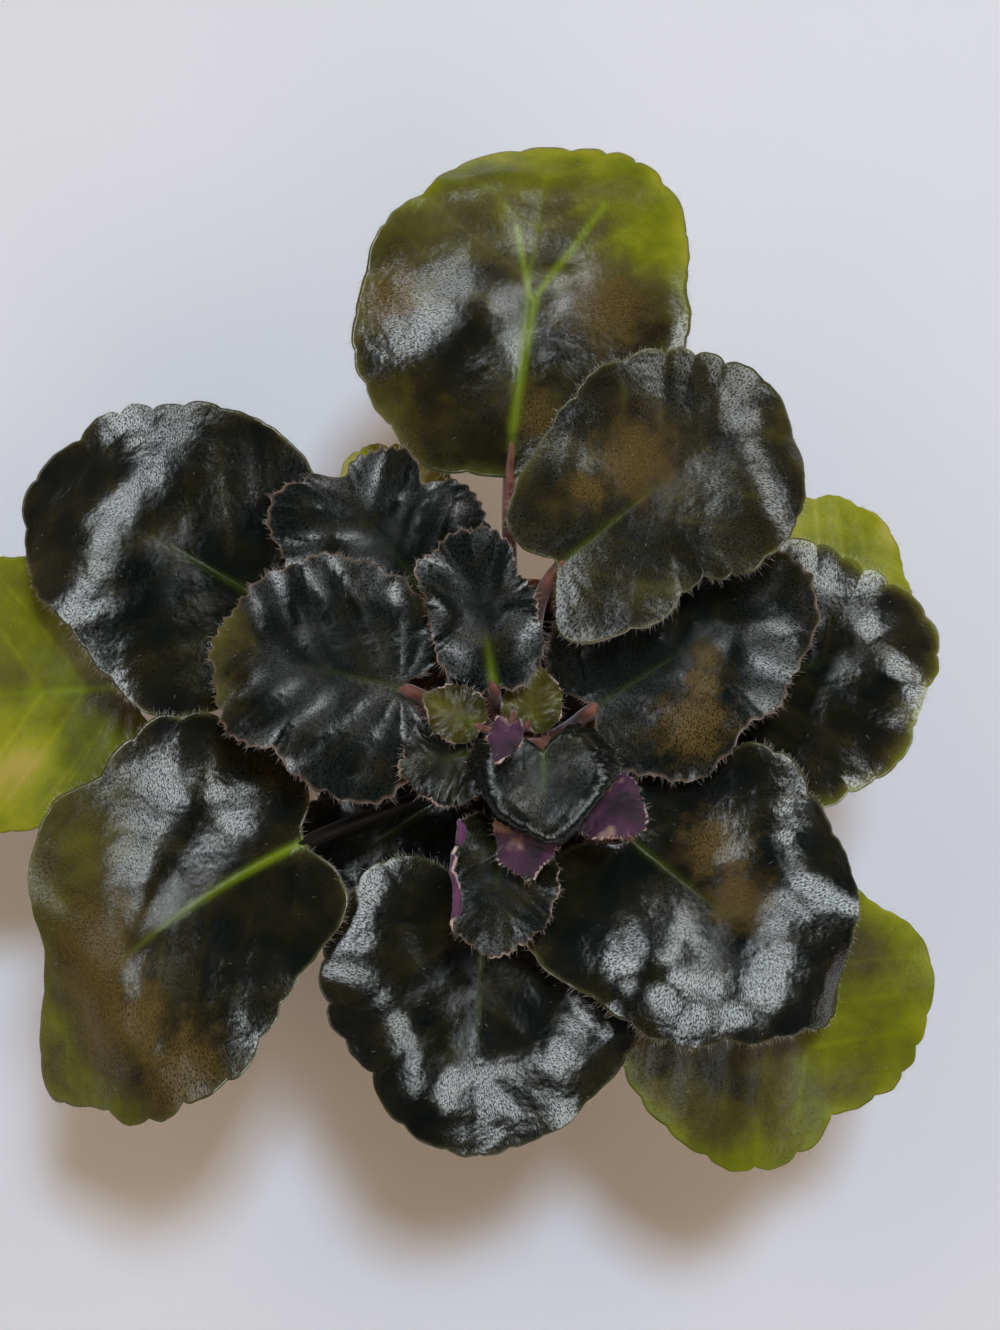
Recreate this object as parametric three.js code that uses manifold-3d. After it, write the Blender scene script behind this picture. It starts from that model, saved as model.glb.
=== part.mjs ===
// A potted African violet: a round plastic pot, its soil, the short stem with the growing tip,
// and the rosette of leaves, each one a scalloped blade in one piece with its petiole.
// Millimetres, +Z up. The origin is the centre of the pot's flat base.
import * as THREE from "three";
import { mergeVertices } from "three/addons/utils/BufferGeometryUtils.js";
import Module from "manifold-3d";

const wasm = await Module();
wasm.setup();

// ---------------------------------------------------------------- driving dimensions

const clearance = 0.3; // left between pieces that touch

const pot = {
  height: 76,
  rimRadius: 45,
  rimBand: 11, // height of the thicker collar under the rim
  collarStep: 2.2, // how far the collar stands out from the wall
  baseRadius: 31,
  wall: 1.6,
  floor: 2.4,
  chamfer: 1.2, // on the base's outer edge and the rim's inner one
  sides: 36,
  drainHoles: 6,
  drainHoleRadius: 3.2,
  drainCircleRadius: 20,
};

const soil = {
  level: 67, // mean height of the surface above the table
  crownRise: 3.5, // how much higher it is heaped round the stem
  roughness: 1.1,
};

const stem = {
  radius: 8.5,
  foot: 54, // lowest point, inside the soil
  shoulder: 98.5, // where it rounds in to the flat growing tip
  top: 100,
  sides: 14,
};

const bladeThickness = 1.1;
const rimThickness = 0.75;
const petioleSides = 6;
const petioleSteps = 8;
const petioleSink = 0.3; // how far the petiole's top lies inside the blade
const petioleUnderBlade = 0.16; // share of the blade's length that the petiole runs on below it

const tipSpread = 0.3; // half width of the blade's point, in radians
const scallopRoundness = 0.6; // lower makes the scallops fuller and the creases between them sharper
const veinLean = 0.62; // how far a side vein runs forward for each mm it runs outward
const veinCurl = 0.004; // and how much more so towards the margin
const midribChannel = 4; // half width of the flat strip along the midrib

// What every leaf has unless its own lines say otherwise. Lengths in mm, angles in degrees.
const usualLeaf = {
  pitch: 0, // tip raised
  roll: 0, // left side raised, seen from the petiole
  middle: 0.46, // where the blade is widest, as a share of its length
  lobe: 9, // how far the basal lobes reach behind the petiole
  notch: 0.24, // half width of the gap between the lobes, in radians
  square: 2.2, // 2 is an ellipse, more is squarer
  point: 2, // extra length at the very tip
  sweep: 0, // sideways curve of the midrib at the tip, to the left if positive
  scallops: 20,
  scallopDepth: 1.5,
  ruffle: 1.2, // slow wave of the margin
  ruffleTurns: 5,
  frill: 0.4, // quick wave, one per scallop
  bulges: [], // swellings of the outline, each [degrees from the tip, spread in degrees, mm out]
  hollows: [], // soft rises and hollows of the blade, each [x, y, radius, rise]
  veins: 6, // side veins each side, counted along the midrib
  quilt: 0.2, // height of the pillows between the side veins
  cup: 0, // rise of the margin over the middle
  droop: 0, // fall of the outer third
  vee: 0.05, // slope of each half up from the midrib
  arch: 0, // extra rise of the petiole on its way out
  petioleRadius: 1.7,
  tone: "dark",
  bends: [], // each: toward (degrees from the midrib), start, radius, turn (down is positive)
};

// base: where the petiole meets the blade. root: height at which the petiole leaves the stem;
// the youngest leaves have foot instead, the place where they stand on the growing tip.
// heading: direction of the midrib in plan, 0 along +X and 90 along +Y.
const leaves = {
  leaf_top: {
    root: 79, base: [-0.6, 71, 91], heading: 86, pitch: 2,
    length: 78, width: 75, sweep: -5, lobe: 11, point: 0, scallops: 22,
    bends: [
      { toward: 5, start: 57, radius: 16, turn: 32 },
      { toward: -95, start: 28, radius: 12, turn: 30 },
    ],
    bulges: [[180, 12, 6.5], [48, 14, -5], [112, 18, 2], [-80, 14, -2.5]],
    hollows: [[34, 14, 14, 2.5], [38, -6, 7, 1.2], [62, 10, 12, 1]],
  },
  leaf_top_low: {
    root: 77.5, base: [-19, 52, 79], heading: 130, pitch: -8, tone: "lime",
    length: 28, width: 28, scallops: 14, petioleRadius: 1.4, arch: 3,
  },
  leaf_right_low: {
    root: 77.5, base: [57, 32, 77], heading: 38, pitch: -8, tone: "lime",
    length: 38, width: 42, scallops: 16, arch: 4,
    bulges: [[35, 25, 2]],
  },
  leaf_right: {
    root: 82, base: [46, 13, 87], heading: 23, pitch: 3,
    length: 49, width: 58, point: 4,
    bends: [{ toward: 0, start: 32, radius: 40, turn: 30 }],
    bulges: [[-48, 20, -4.5], [42, 22, -4], [-115, 14, 2.5]],
    hollows: [[34, -8, 12, 2], [26, 14, 10, 1.5]],
  },
  leaf_lower_right_low: {
    root: 78, base: [36, -32, 79], heading: -46, pitch: -6, tone: "lime",
    length: 62, width: 70, square: 2, scallops: 22, arch: 3,
    bulges: [[-8, 20, -6.5], [60, 18, 3.5], [94, 12, -3], [-58, 14, 1.5]],
  },
  leaf_bottom: {
    root: 83, base: [-7, -36, 90.5], heading: -92, pitch: -4,
    length: 48, width: 72, middle: 0.3, lobe: 14, square: 2, scallops: 22,
    bends: [
      { toward: 70, start: 14, radius: 40, turn: 30 },
      { toward: -70, start: 14, radius: 40, turn: 30 },
    ],
    bulges: [[-52, 20, -4.5], [-90, 16, -2], [-140, 20, 4.5], [50, 14, -1.5]],
    hollows: [[14, -18, 10, 2], [14, 18, 10, 2], [28, -8, 9, 1.2], [30, 8, 9, 1]],
  },
  leaf_lower_left: {
    root: 89, base: [-45, -18.5, 93], heading: 205, pitch: 1,
    length: 68, width: 69, sweep: 15, lobe: 8, square: 2.7, point: 3, scallops: 22,
    bends: [{ toward: 10, start: 42, radius: 20, turn: 40 }],
    bulges: [[3, 16, 11], [-32, 14, -6], [-68, 9, 4], [-108, 22, 5], [130, 25, -7.5], [88, 10, 2]],
    hollows: [[20, -18, 13, 3], [38, -12, 9, 2], [54, -14, 8, 1.5], [48, 14, 12, 1.5]],
  },
  leaf_left_low: {
    root: 77.5, base: [-88, 19, 75.5], heading: 182, pitch: -6, tone: "lime",
    length: 60, width: 64, arch: 4,
  },
  leaf_left: {
    root: 83, base: [-54, 35, 89], heading: 151, pitch: 2,
    length: 60, width: 68, point: 4,
    bends: [{ toward: 20, start: 25, radius: 45, turn: 30 }],
    bulges: [[5, 20, 2.5], [-60, 12, -2], [-112, 18, 2], [68, 28, -7], [125, 18, 4.5]],
    hollows: [[32, -14, 13, 2.5], [32, 14, 13, 2.5]],
  },
  leaf_under_left: {
    root: 78, base: [-17, -8, 82], heading: 214, pitch: -4,
    length: 36, width: 34, scallops: 16, petioleRadius: 1.5,
  },
  leaf_upper_right: {
    root: 87, base: [10, 39, 110.5], heading: 39, pitch: 3,
    length: 58, width: 56, lobe: 10, arch: -5,
    bends: [{ toward: -20, start: 40, radius: 30, turn: 30 }],
    bulges: [[130, 30, -3.5], [-110, 18, -6], [-165, 16, 4.5]],
    hollows: [[42, -14, 12, 2.5], [14, 13, 8, 1.5]],
  },
  leaf_right_inner: {
    root: 90, base: [17, 9.5, 101], heading: 33, pitch: 1, roll: -3,
    length: 53, width: 50, lobe: 8, frill: 0.8,
    bulges: [[-50, 22, -4], [-88, 14, -3.5], [-122, 12, 2.5]],
    hollows: [[33, -6, 9, 2.5], [16, -18, 9, 1.5]],
  },
  leaf_lower_right: {
    root: 88, base: [24, -18, 97], heading: -39, pitch: 1,
    length: 55, width: 60, lobe: 13, point: 0,
    bends: [{ toward: 0, start: 36, radius: 18, turn: 42 }],
    bulges: [[0, 16, 6.5], [40, 20, -2], [110, 18, 5.5], [-48, 22, -3.5], [-132, 18, 8]],
    hollows: [[28, 14, 12, 2], [22, -18, 10, 2.5]],
  },
  leaf_inner_left: {
    root: 92, base: [-24, 13, 105], heading: 168, pitch: 5,
    length: 39, width: 50, lobe: 12, frill: 0.8,
    bulges: [[74, 16, -5], [125, 18, 4], [-150, 18, -3.5], [-62, 12, -2]],
    hollows: [[12, 16, 10, 1.5], [12, -16, 10, 1.5]],
  },
  leaf_inner_top_left: {
    root: 87, base: [-18, 33, 96], heading: 126, pitch: 6,
    length: 37, width: 44, lobe: 6, frill: 0.8,
    bulges: [[36, 20, 6], [-2, 10, -4], [-66, 12, -6.5]],
    hollows: [[14, -12, 8, 1.2], [22, 10, 8, 1.2]],
  },
  leaf_inner_top: {
    root: 95, base: [-4.5, 13, 106.6], heading: 99, pitch: 10,
    length: 35, width: 23, lobe: 4, scallops: 16, petioleRadius: 1.4,
    bulges: [[0, 18, -3], [-48, 16, -2.5], [48, 12, 3], [-128, 14, 1.5]],
    hollows: [[16, -5, 6, 1], [16, 6, 6, 1]],
  },
  leaf_crown_front: {
    foot: [3, 1], base: [5.5, 0, 114], heading: -87, pitch: 12,
    length: 25, width: 33, lobe: 9, notch: 0.42, middle: 0.3, square: 2, scallops: 18,
    cup: 3, droop: 6, frill: 0.4, petioleRadius: 1.3, scallopDepth: 0.8,
  },
  leaf_crown_bottom: {
    foot: [-2, -5], base: [-3, -16, 105], heading: -93, pitch: 6,
    length: 26, width: 25, lobe: 4, scallops: 16, petioleRadius: 1.3, scallopDepth: 1,
  },
  leaf_crown_left: {
    foot: [-5.5, -1], base: [-8, -1, 107], heading: 196, pitch: 6,
    length: 15, width: 20, lobe: 3, scallops: 14, petioleRadius: 1.1, scallopDepth: 1,
  },
  leaf_crown_top_left: {
    foot: [-4, 4], base: [-8, 3.8, 110.3], heading: 150, pitch: 12, tone: "lime",
    length: 11, width: 12, lobe: 1.5, scallops: 10, petioleRadius: 0.9, scallopDepth: 0.7,
  },
  leaf_crown_top: {
    foot: [2, 5.5], base: [2.7, 5.6, 102], heading: 78, pitch: 5, tone: "lime",
    length: 11, width: 13, lobe: 2, scallops: 12, petioleRadius: 1, scallopDepth: 0.8,
  },
  leaf_crown_purple: {
    foot: [-1, -1.5], base: [1, -14, 109], heading: -80, pitch: 12, roll: 20,
    length: 13, width: 13, lobe: 1.5, scallops: 10, petioleRadius: 0.9, scallopDepth: 0.7,
  },
  leaf_crown_right: {
    foot: [5.5, -3], base: [14, -10, 107.5], heading: -30, pitch: 8, roll: -20,
    length: 13, width: 16, lobe: 2, scallops: 12, petioleRadius: 1, scallopDepth: 0.8,
  },
  leaf_crown_tip: {
    foot: [-1.5, 4.5], base: [-1, 3, 119], heading: -110, pitch: 4,
    length: 10, width: 10, lobe: 1, scallops: 10, petioleRadius: 0.7, scallopDepth: 0.5, quilt: 0.3,
  },
};

// ---------------------------------------------------------------- solids and booleans

function solidOf(geometry) {
  const bare = geometry.clone();
  bare.deleteAttribute("normal");
  bare.deleteAttribute("uv");
  const merged = mergeVertices(bare, 1e-4);
  return new wasm.Manifold(
    new wasm.Mesh({
      numProp: 3,
      vertProperties: merged.attributes.position.array,
      triVerts: new Uint32Array(merged.index.array),
    }),
  );
}

function geometryOf(solid) {
  const mesh = solid.getMesh();
  const positions = new Float32Array(mesh.numVert * 3);
  for (let i = 0; i < mesh.numVert; i++) {
    positions.set(mesh.vertProperties.subarray(i * mesh.numProp, i * mesh.numProp + 3), i * 3);
  }
  const geometry = new THREE.BufferGeometry();
  geometry.setAttribute("position", new THREE.BufferAttribute(positions, 3));
  geometry.setIndex(new THREE.BufferAttribute(mesh.triVerts, 1));
  return geometry.toNonIndexed();
}

// ---------------------------------------------------------------- the leaf

const radians = THREE.MathUtils.degToRad;

// Distance from the blade's middle to its margin, at an angle measured from the tip.
function outlineRadius(leaf, angle) {
  const middle = bladeMiddle(leaf);
  const reach = Math.cos(angle) > 0 ? leaf.length - middle : middle + leaf.lobe;
  const across = leaf.width / 2;
  const p = leaf.square;
  const oval = (Math.abs(Math.cos(angle) / reach) ** p + Math.abs(Math.sin(angle) / across) ** p) ** (-1 / p);
  const swollen = leaf.bulges.reduce((radius, [toward, spread, amount]) => {
    const away = THREE.MathUtils.euclideanModulo(THREE.MathUtils.radToDeg(angle) - toward + 180, 360) - 180;
    return radius + amount * Math.exp(-((away / spread) ** 2));
  }, oval);
  const fromNotch = Math.PI - Math.abs(angle);
  const notch = leaf.lobe * Math.exp(-((fromNotch / leaf.notch) ** 2));
  const tip = leaf.point * Math.exp(-((angle / tipSpread) ** 2));
  const phase = (leaf.scallops * (angle + Math.PI)) / 2 + scallopDrift(leaf, angle);
  const scallop = Math.abs(Math.sin(phase)) ** scallopRoundness;
  const depth = leaf.scallopDepth * (0.8 + 0.4 * Math.sin(2 * angle + 1.7 * leaf.number));
  return swollen - notch + tip + depth * (scallop - 0.8);
}

// Makes some scallops of a margin wider than others.
function scallopDrift(leaf, angle) {
  return 0.9 * Math.sin(3 * angle + leaf.number) + 0.5 * Math.sin(5 * angle + 2 * leaf.number);
}

// The angle at which the margin has gone through a given share of its scallops, as a turn in radians.
function scallopAngle(leaf, turn) {
  let angle = turn;
  for (let k = 0; k < 12; k++) angle = turn - (2 * scallopDrift(leaf, angle)) / leaf.scallops;
  return angle;
}

function bladeMiddle(leaf) {
  return leaf.length * leaf.middle;
}

// Pillows between side veins that leave the midrib at about 50 degrees and sweep forward.
function quiltHeight(leaf, x, y) {
  const across = Math.abs(y);
  const start = x - veinLean * across - veinCurl * across * across;
  const veinPhase = (start * leaf.veins) / leaf.length;
  const pillow = Math.abs(Math.sin(Math.PI * veinPhase)) ** 0.7;
  return pillow * (1 - Math.exp(-((y / midribChannel) ** 2)));
}

function hollowHeight(leaf, x, y) {
  return leaf.hollows.reduce((height, [cx, cy, radius, rise]) => {
    const away = Math.hypot(x - cx, y - cy) / radius;
    return height + rise * Math.exp(-(away ** 2));
  }, 0);
}

// Rolls whatever lies beyond a line round a cylinder, as a leaf's margin turns down or up.
function applyBend(point, bend) {
  const direction = new THREE.Vector2(Math.cos(radians(bend.toward)), Math.sin(radians(bend.toward)));
  const beyond = point.x * direction.x + point.y * direction.y - bend.start;
  if (beyond <= 0) return;
  const sense = Math.sign(bend.turn);
  const angle = Math.min(beyond / bend.radius, radians(Math.abs(bend.turn)));
  const rest = beyond - angle * bend.radius;
  const radius = bend.radius + sense * point.z;
  const along = radius * Math.sin(angle) + rest * Math.cos(angle);
  const drop = bend.radius - radius * Math.cos(angle) + rest * Math.sin(angle);
  point.x += direction.x * (along - beyond);
  point.y += direction.y * (along - beyond);
  point.z = -sense * drop;
}

// A point of the blade in its own frame. share runs from the middle (0) to the margin (1);
// face is 1 on top and -1 below.
function bladePoint(leaf, share, angle, face) {
  const radius = outlineRadius(leaf, angle) * share;
  const x = bladeMiddle(leaf) + radius * Math.cos(angle);
  const y = radius * Math.sin(angle);
  const margin = share ** 3;
  const wave = leaf.ruffle * Math.sin(leaf.ruffleTurns * angle + leaf.length);
  const quick = leaf.frill * Math.sin(leaf.scallops * angle * 0.5 + 0.8) * share ** 6;
  const inside = Math.min(1, (1 - share) * 5);
  const height =
    hollowHeight(leaf, x, y) +
    leaf.quilt * quiltHeight(leaf, x, y) * inside +
    margin * wave +
    quick +
    leaf.cup * share * share -
    leaf.droop * Math.max(0, (share - 0.6) / 0.4) ** 2 +
    leaf.vee * Math.abs(y);
  const thickness = THREE.MathUtils.lerp(bladeThickness, rimThickness, margin);
  const swept = y + leaf.sweep * (Math.max(0, x) / leaf.length) ** 2;
  const point = new THREE.Vector3(x, swept, height + (face * thickness) / 2);
  for (const bend of leaf.bends) applyBend(point, bend);
  return point;
}

// Rings of the blade from the margin inwards: the share of the way out and how many points.
function bladeRings(leaf) {
  const round = leaf.scallops;
  return [
    { share: 1, count: round * 3 },
    { share: 0.78, count: Math.round(round * 1.5) },
    { share: 0.5, count: round },
    { share: 0.22, count: Math.round(round / 2) },
    { share: 0, count: 1 },
  ];
}

// Triangles between an outer and an inner ring that may have different numbers of points.
function stitchRings(outer, inner, outerAngles, innerAngles) {
  const triangles = [];
  let i = 0;
  let j = 0;
  while (i < outer.length || j < inner.length) {
    const outerNext = i < outer.length ? outerAngles[i] + outerAngles[i + 1] : Infinity;
    const innerNext = j < inner.length ? innerAngles[j] + innerAngles[j + 1] : Infinity;
    const from = outer[i % outer.length];
    const to = inner[j % inner.length];
    if (inner.length === 1 || outerNext <= innerNext) {
      if (i >= outer.length) break;
      triangles.push([from, outer[(i + 1) % outer.length], to]);
      i++;
    } else {
      triangles.push([from, inner[(j + 1) % inner.length], to]);
      j++;
    }
  }
  return triangles;
}

function bladeGeometry(leaf) {
  const positions = [];
  const faces = [1, -1].map((face) =>
    bladeRings(leaf).map(({ share, count }) => {
      const turns = Array.from({ length: count + 1 }, (_, k) => -Math.PI + (2 * Math.PI * k) / count);
      const angles = turns.map((turn) => scallopAngle(leaf, turn));
      const indices = angles.slice(0, count).map((angle) => {
        positions.push(...bladePoint(leaf, share, angle, face).toArray());
        return positions.length / 3 - 1;
      });
      return { angles, indices };
    }),
  );
  const triangles = [];
  faces.forEach((rings, which) => {
    for (let r = 0; r + 1 < rings.length; r++) {
      const [outer, inner] = [rings[r], rings[r + 1]];
      for (const [a, b, c] of stitchRings(outer.indices, inner.indices, outer.angles, inner.angles)) {
        triangles.push(...(which === 0 ? [a, b, c] : [a, c, b]));
      }
    }
  });
  const [upper, lower] = [faces[0][0].indices, faces[1][0].indices];
  upper.forEach((a, k) => {
    const next = (k + 1) % upper.length;
    triangles.push(a, lower[k], upper[next], upper[next], lower[k], lower[next]);
  });
  const geometry = new THREE.BufferGeometry();
  geometry.setAttribute("position", new THREE.Float32BufferAttribute(positions, 3));
  geometry.setIndex(triangles);
  return geometry;
}

// A point of the midrib, half way through the blade.
function midribPoint(leaf, x) {
  const angle = x < bladeMiddle(leaf) ? Math.PI : 0;
  return bladePoint(leaf, Math.abs(x - bladeMiddle(leaf)) / outlineRadius(leaf, angle), angle, 0);
}

// The petiole's path in the leaf's own frame: square out of the stem, arching up to the blade,
// then a little way along its underside.
function petiolePath(leaf, place) {
  const joint = midribPoint(leaf, 0);
  const base = joint.clone().applyMatrix4(place);
  const onTip = leaf.foot !== undefined;
  const outward = onTip ? new THREE.Vector3(0, 0, 1) : new THREE.Vector3(base.x, base.y, 0).normalize();
  const start = onTip
    ? new THREE.Vector3(leaf.foot[0], leaf.foot[1], stem.top + clearance)
    : outward.clone().multiplyScalar(stem.radius + clearance).setZ(leaf.root);
  const midrib = new THREE.Vector3(1, 0, 0).transformDirection(place);
  const upper = new THREE.Vector3(0, 0, 1).transformDirection(place);
  const reach = start.distanceTo(base);
  const sunk = petioleSink - leaf.petioleRadius;
  const out = start.clone().addScaledVector(outward, Math.min(1.5, reach * 0.12));
  const away = out.clone().addScaledVector(outward, reach * 0.4);
  const arrive = base.clone().addScaledVector(midrib, -reach * 0.3).addScaledVector(upper, sunk);
  away.z += leaf.arch;
  arrive.z += leaf.arch;
  base.addScaledVector(upper, sunk);
  const rise = new THREE.CubicBezierCurve3(out, away, arrive, base);
  const back = place.clone().invert();
  const points = [start, ...rise.getPoints(petioleSteps - 2)].map((point) => point.applyMatrix4(back));
  points.push(midribPoint(leaf, leaf.length * petioleUnderBlade).setY(0).add(new THREE.Vector3(0, 0, sunk)));
  return new THREE.CatmullRomCurve3(points);
}

function petioleGeometry(leaf, place) {
  const section = new THREE.Shape();
  for (let k = 0; k < petioleSides; k++) {
    const turn = (2 * Math.PI * (k + 0.5)) / petioleSides;
    const corner = [leaf.petioleRadius * Math.cos(turn), leaf.petioleRadius * Math.sin(turn)];
    if (k === 0) section.moveTo(...corner);
    else section.lineTo(...corner);
  }
  section.closePath();
  return new THREE.ExtrudeGeometry(section, {
    extrudePath: petiolePath(leaf, place),
    steps: petioleSteps,
    bevelEnabled: false,
  });
}

function buildLeaf(name, own, number) {
  const leaf = { ...usualLeaf, ...own, number };
  const mesh = new THREE.Mesh(new THREE.BufferGeometry(), leafMaterials[leaf.tone].clone());
  mesh.name = name;
  mesh.position.set(...leaf.base);
  mesh.rotation.set(radians(leaf.roll), radians(-leaf.pitch), radians(leaf.heading), "ZYX");
  mesh.updateMatrix();
  const blade = solidOf(bladeGeometry(leaf));
  const petiole = solidOf(petioleGeometry(leaf, mesh.matrix));
  mesh.geometry = geometryOf(blade.add(petiole));
  return mesh;
}

// ---------------------------------------------------------------- pot, soil, stem

function turned(profile, sides) {
  const geometry = new THREE.LatheGeometry(
    profile.map(([radius, height]) => new THREE.Vector2(radius, height)),
    sides,
  );
  return geometry.rotateX(Math.PI / 2);
}

function wallRadius(height) {
  return THREE.MathUtils.lerp(pot.baseRadius, pot.rimRadius - pot.collarStep, height / pot.height);
}

function buildPot(material) {
  const collarFoot = pot.height - pot.rimBand;
  const profile = [
    [0, 0],
    [pot.baseRadius - pot.chamfer, 0],
    [pot.baseRadius, pot.chamfer],
    [wallRadius(collarFoot), collarFoot],
    [pot.rimRadius - 0.6, collarFoot + 0.8],
    [pot.rimRadius, pot.height - 1],
    [pot.rimRadius - 0.8, pot.height],
    [pot.rimRadius - pot.collarStep, pot.height],
    [wallRadius(pot.height) - pot.wall, pot.height - pot.chamfer],
    [wallRadius(pot.floor) - pot.wall, pot.floor + 1],
    [wallRadius(pot.floor) - pot.wall - 1.5, pot.floor],
    [0, pot.floor],
  ];
  let shell = solidOf(turned(profile, pot.sides));
  for (let k = 0; k < pot.drainHoles; k++) {
    const turn = (2 * Math.PI * k) / pot.drainHoles;
    const drill = new THREE.CylinderGeometry(pot.drainHoleRadius, pot.drainHoleRadius, 4 * pot.floor, 10);
    drill.rotateX(Math.PI / 2);
    drill.translate(Math.cos(turn) * pot.drainCircleRadius, Math.sin(turn) * pot.drainCircleRadius, 0);
    shell = shell.subtract(solidOf(drill));
  }
  const mesh = new THREE.Mesh(geometryOf(shell), material);
  mesh.name = "pot";
  return mesh;
}

// Lumpy top, higher round the stem, with a plain hole that the stem stands in.
function buildSoil(material) {
  const foot = pot.floor + clearance;
  const inner = (height) => wallRadius(height) - pot.wall - clearance - 0.2;
  const edge = inner(soil.level);
  const rings = [1, 0.84, 0.66, 0.48, 0.3];
  const profile = [
    [0, foot],
    [inner(foot) - 2.4, foot],
    [inner(foot + 2.6), foot + 2.6],
    ...rings.map((share) => [edge * share, soil.level + soil.crownRise * (1 - share) ** 1.5]),
    [0, soil.level + soil.crownRise],
  ];
  const geometry = turned(profile, pot.sides);
  const position = geometry.attributes.position;
  for (let i = 0; i < position.count; i++) {
    const [x, y, z] = [position.getX(i), position.getY(i), position.getZ(i)];
    const fromAxis = Math.hypot(x, y);
    if (z < soil.level - 1 || fromAxis < 1) continue;
    const lump = Math.sin(x * 0.55 + 1.3) * Math.cos(y * 0.47 - 0.4) + 0.6 * Math.sin(x * 1.3 - y * 0.9);
    position.setZ(i, z + (soil.roughness * lump) / 1.6);
  }
  const holeRadius = stem.radius + 1.5 * clearance;
  const holeLength = 60;
  const hole = new THREE.CylinderGeometry(holeRadius, holeRadius, holeLength, 20);
  hole.rotateX(Math.PI / 2);
  hole.translate(0, 0, stem.foot - clearance + holeLength / 2);
  const mesh = new THREE.Mesh(geometryOf(solidOf(geometry).subtract(solidOf(hole))), material);
  mesh.name = "soil";
  return mesh;
}

function buildStem(material) {
  const r = stem.radius;
  const profile = [
    [0, stem.foot],
    [r * 0.7, stem.foot],
    [r, stem.foot + 4],
    [r, stem.shoulder],
    [r - 1, stem.top],
    [0, stem.top],
  ];
  const mesh = new THREE.Mesh(turned(profile, stem.sides), material);
  mesh.name = "stem";
  return mesh;
}

// ---------------------------------------------------------------- the plant

const potMaterial = new THREE.MeshStandardMaterial({ color: "#a4603f", roughness: 0.55, metalness: 0 });
const soilMaterial = new THREE.MeshStandardMaterial({ color: "#2b2019", roughness: 0.95, metalness: 0 });
const stemMaterial = new THREE.MeshStandardMaterial({ color: "#5a4a2c", roughness: 0.7, metalness: 0 });
const leafMaterials = {
  dark: new THREE.MeshStandardMaterial({ color: "#18211a", roughness: 0.4, metalness: 0 }),
  lime: new THREE.MeshStandardMaterial({ color: "#7f8c2c", roughness: 0.5, metalness: 0 }),
};

const plant = new THREE.Group();
plant.add(buildPot(potMaterial), buildSoil(soilMaterial), buildStem(stemMaterial));
Object.entries(leaves).forEach(([name, own], index) => plant.add(buildLeaf(name, own, index + 1)));

export default plant;
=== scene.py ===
import math
import bmesh
import bpy
import numpy as np
from mathutils import Euler, Matrix, Vector


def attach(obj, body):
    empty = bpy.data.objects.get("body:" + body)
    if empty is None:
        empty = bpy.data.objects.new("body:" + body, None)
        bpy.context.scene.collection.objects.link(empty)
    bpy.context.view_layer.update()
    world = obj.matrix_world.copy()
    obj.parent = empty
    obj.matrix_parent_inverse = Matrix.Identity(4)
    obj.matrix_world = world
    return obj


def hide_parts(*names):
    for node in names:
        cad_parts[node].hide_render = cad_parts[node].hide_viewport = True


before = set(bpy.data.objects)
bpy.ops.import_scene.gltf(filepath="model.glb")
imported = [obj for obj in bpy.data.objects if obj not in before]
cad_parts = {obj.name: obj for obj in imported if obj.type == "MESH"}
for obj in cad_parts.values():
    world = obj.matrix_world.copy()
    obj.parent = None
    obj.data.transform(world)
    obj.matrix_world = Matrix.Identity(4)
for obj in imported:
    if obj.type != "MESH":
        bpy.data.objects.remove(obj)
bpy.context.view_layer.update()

mm = 0.001
up = Vector((0, 0, 1))


def toLinear(hexColour):
    # sRGB hex to the linear colour that shaders take
    channels = [int(hexColour[i:i + 2], 16) / 255 for i in (1, 3, 5)]
    return tuple(c / 12.92 if c < 0.04045 else ((c + 0.055) / 1.055) ** 2.4 for c in channels) + (1.0,)


def addNode(tree, kind, settings={}, inputs={}):
    # a node with its settings; an input takes a value or the socket that feeds it
    node = tree.nodes.new(kind)
    for name, value in settings.items():
        if name == "ramp":
            ramp = node.color_ramp
            while len(ramp.elements) < len(value):
                ramp.elements.new(0.5)
            for element, (position, colour) in zip(ramp.elements, value):
                element.position = position
                element.color = toLinear(colour)
        else:
            setattr(node, name, value)
    for name, value in inputs.items():
        if isinstance(value, bpy.types.NodeSocket):
            tree.links.new(value, node.inputs[name])
        else:
            node.inputs[name].default_value = value
    return node


def startMaterial(name, **shader):
    material = bpy.data.materials.new(name)
    material.use_nodes = True
    tree = material.node_tree
    bsdf = tree.nodes["Principled BSDF"]
    for socket, value in shader.items():
        bsdf.inputs[socket.replace("_", " ")].default_value = value
    return material, tree, bsdf


def finishPiece(piece, nodes=()):
    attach(piece, "root")
    if nodes:
        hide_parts(*nodes)


def linkMesh(name, bm):
    mesh = bpy.data.meshes.new(name)
    bm.to_mesh(mesh)
    bm.free()
    mesh.shade_smooth()
    piece = bpy.data.objects.new(name, mesh)
    bpy.context.collection.objects.link(piece)
    return piece


def mottleColour(tree, bsdf, place, size, detail, stops):
    # base colour that wanders between the stops, in patches of a size in mm
    patches = addNode(tree, "ShaderNodeTexNoise", {}, {
        "Vector": place, "Scale": 1 / (size * mm), "Detail": detail,
    })
    ramp = addNode(tree, "ShaderNodeValToRGB", {"ramp": stops}, {"Fac": patches.outputs["Fac"]})
    tree.links.new(ramp.outputs["Color"], bsdf.inputs["Base Color"])


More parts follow.
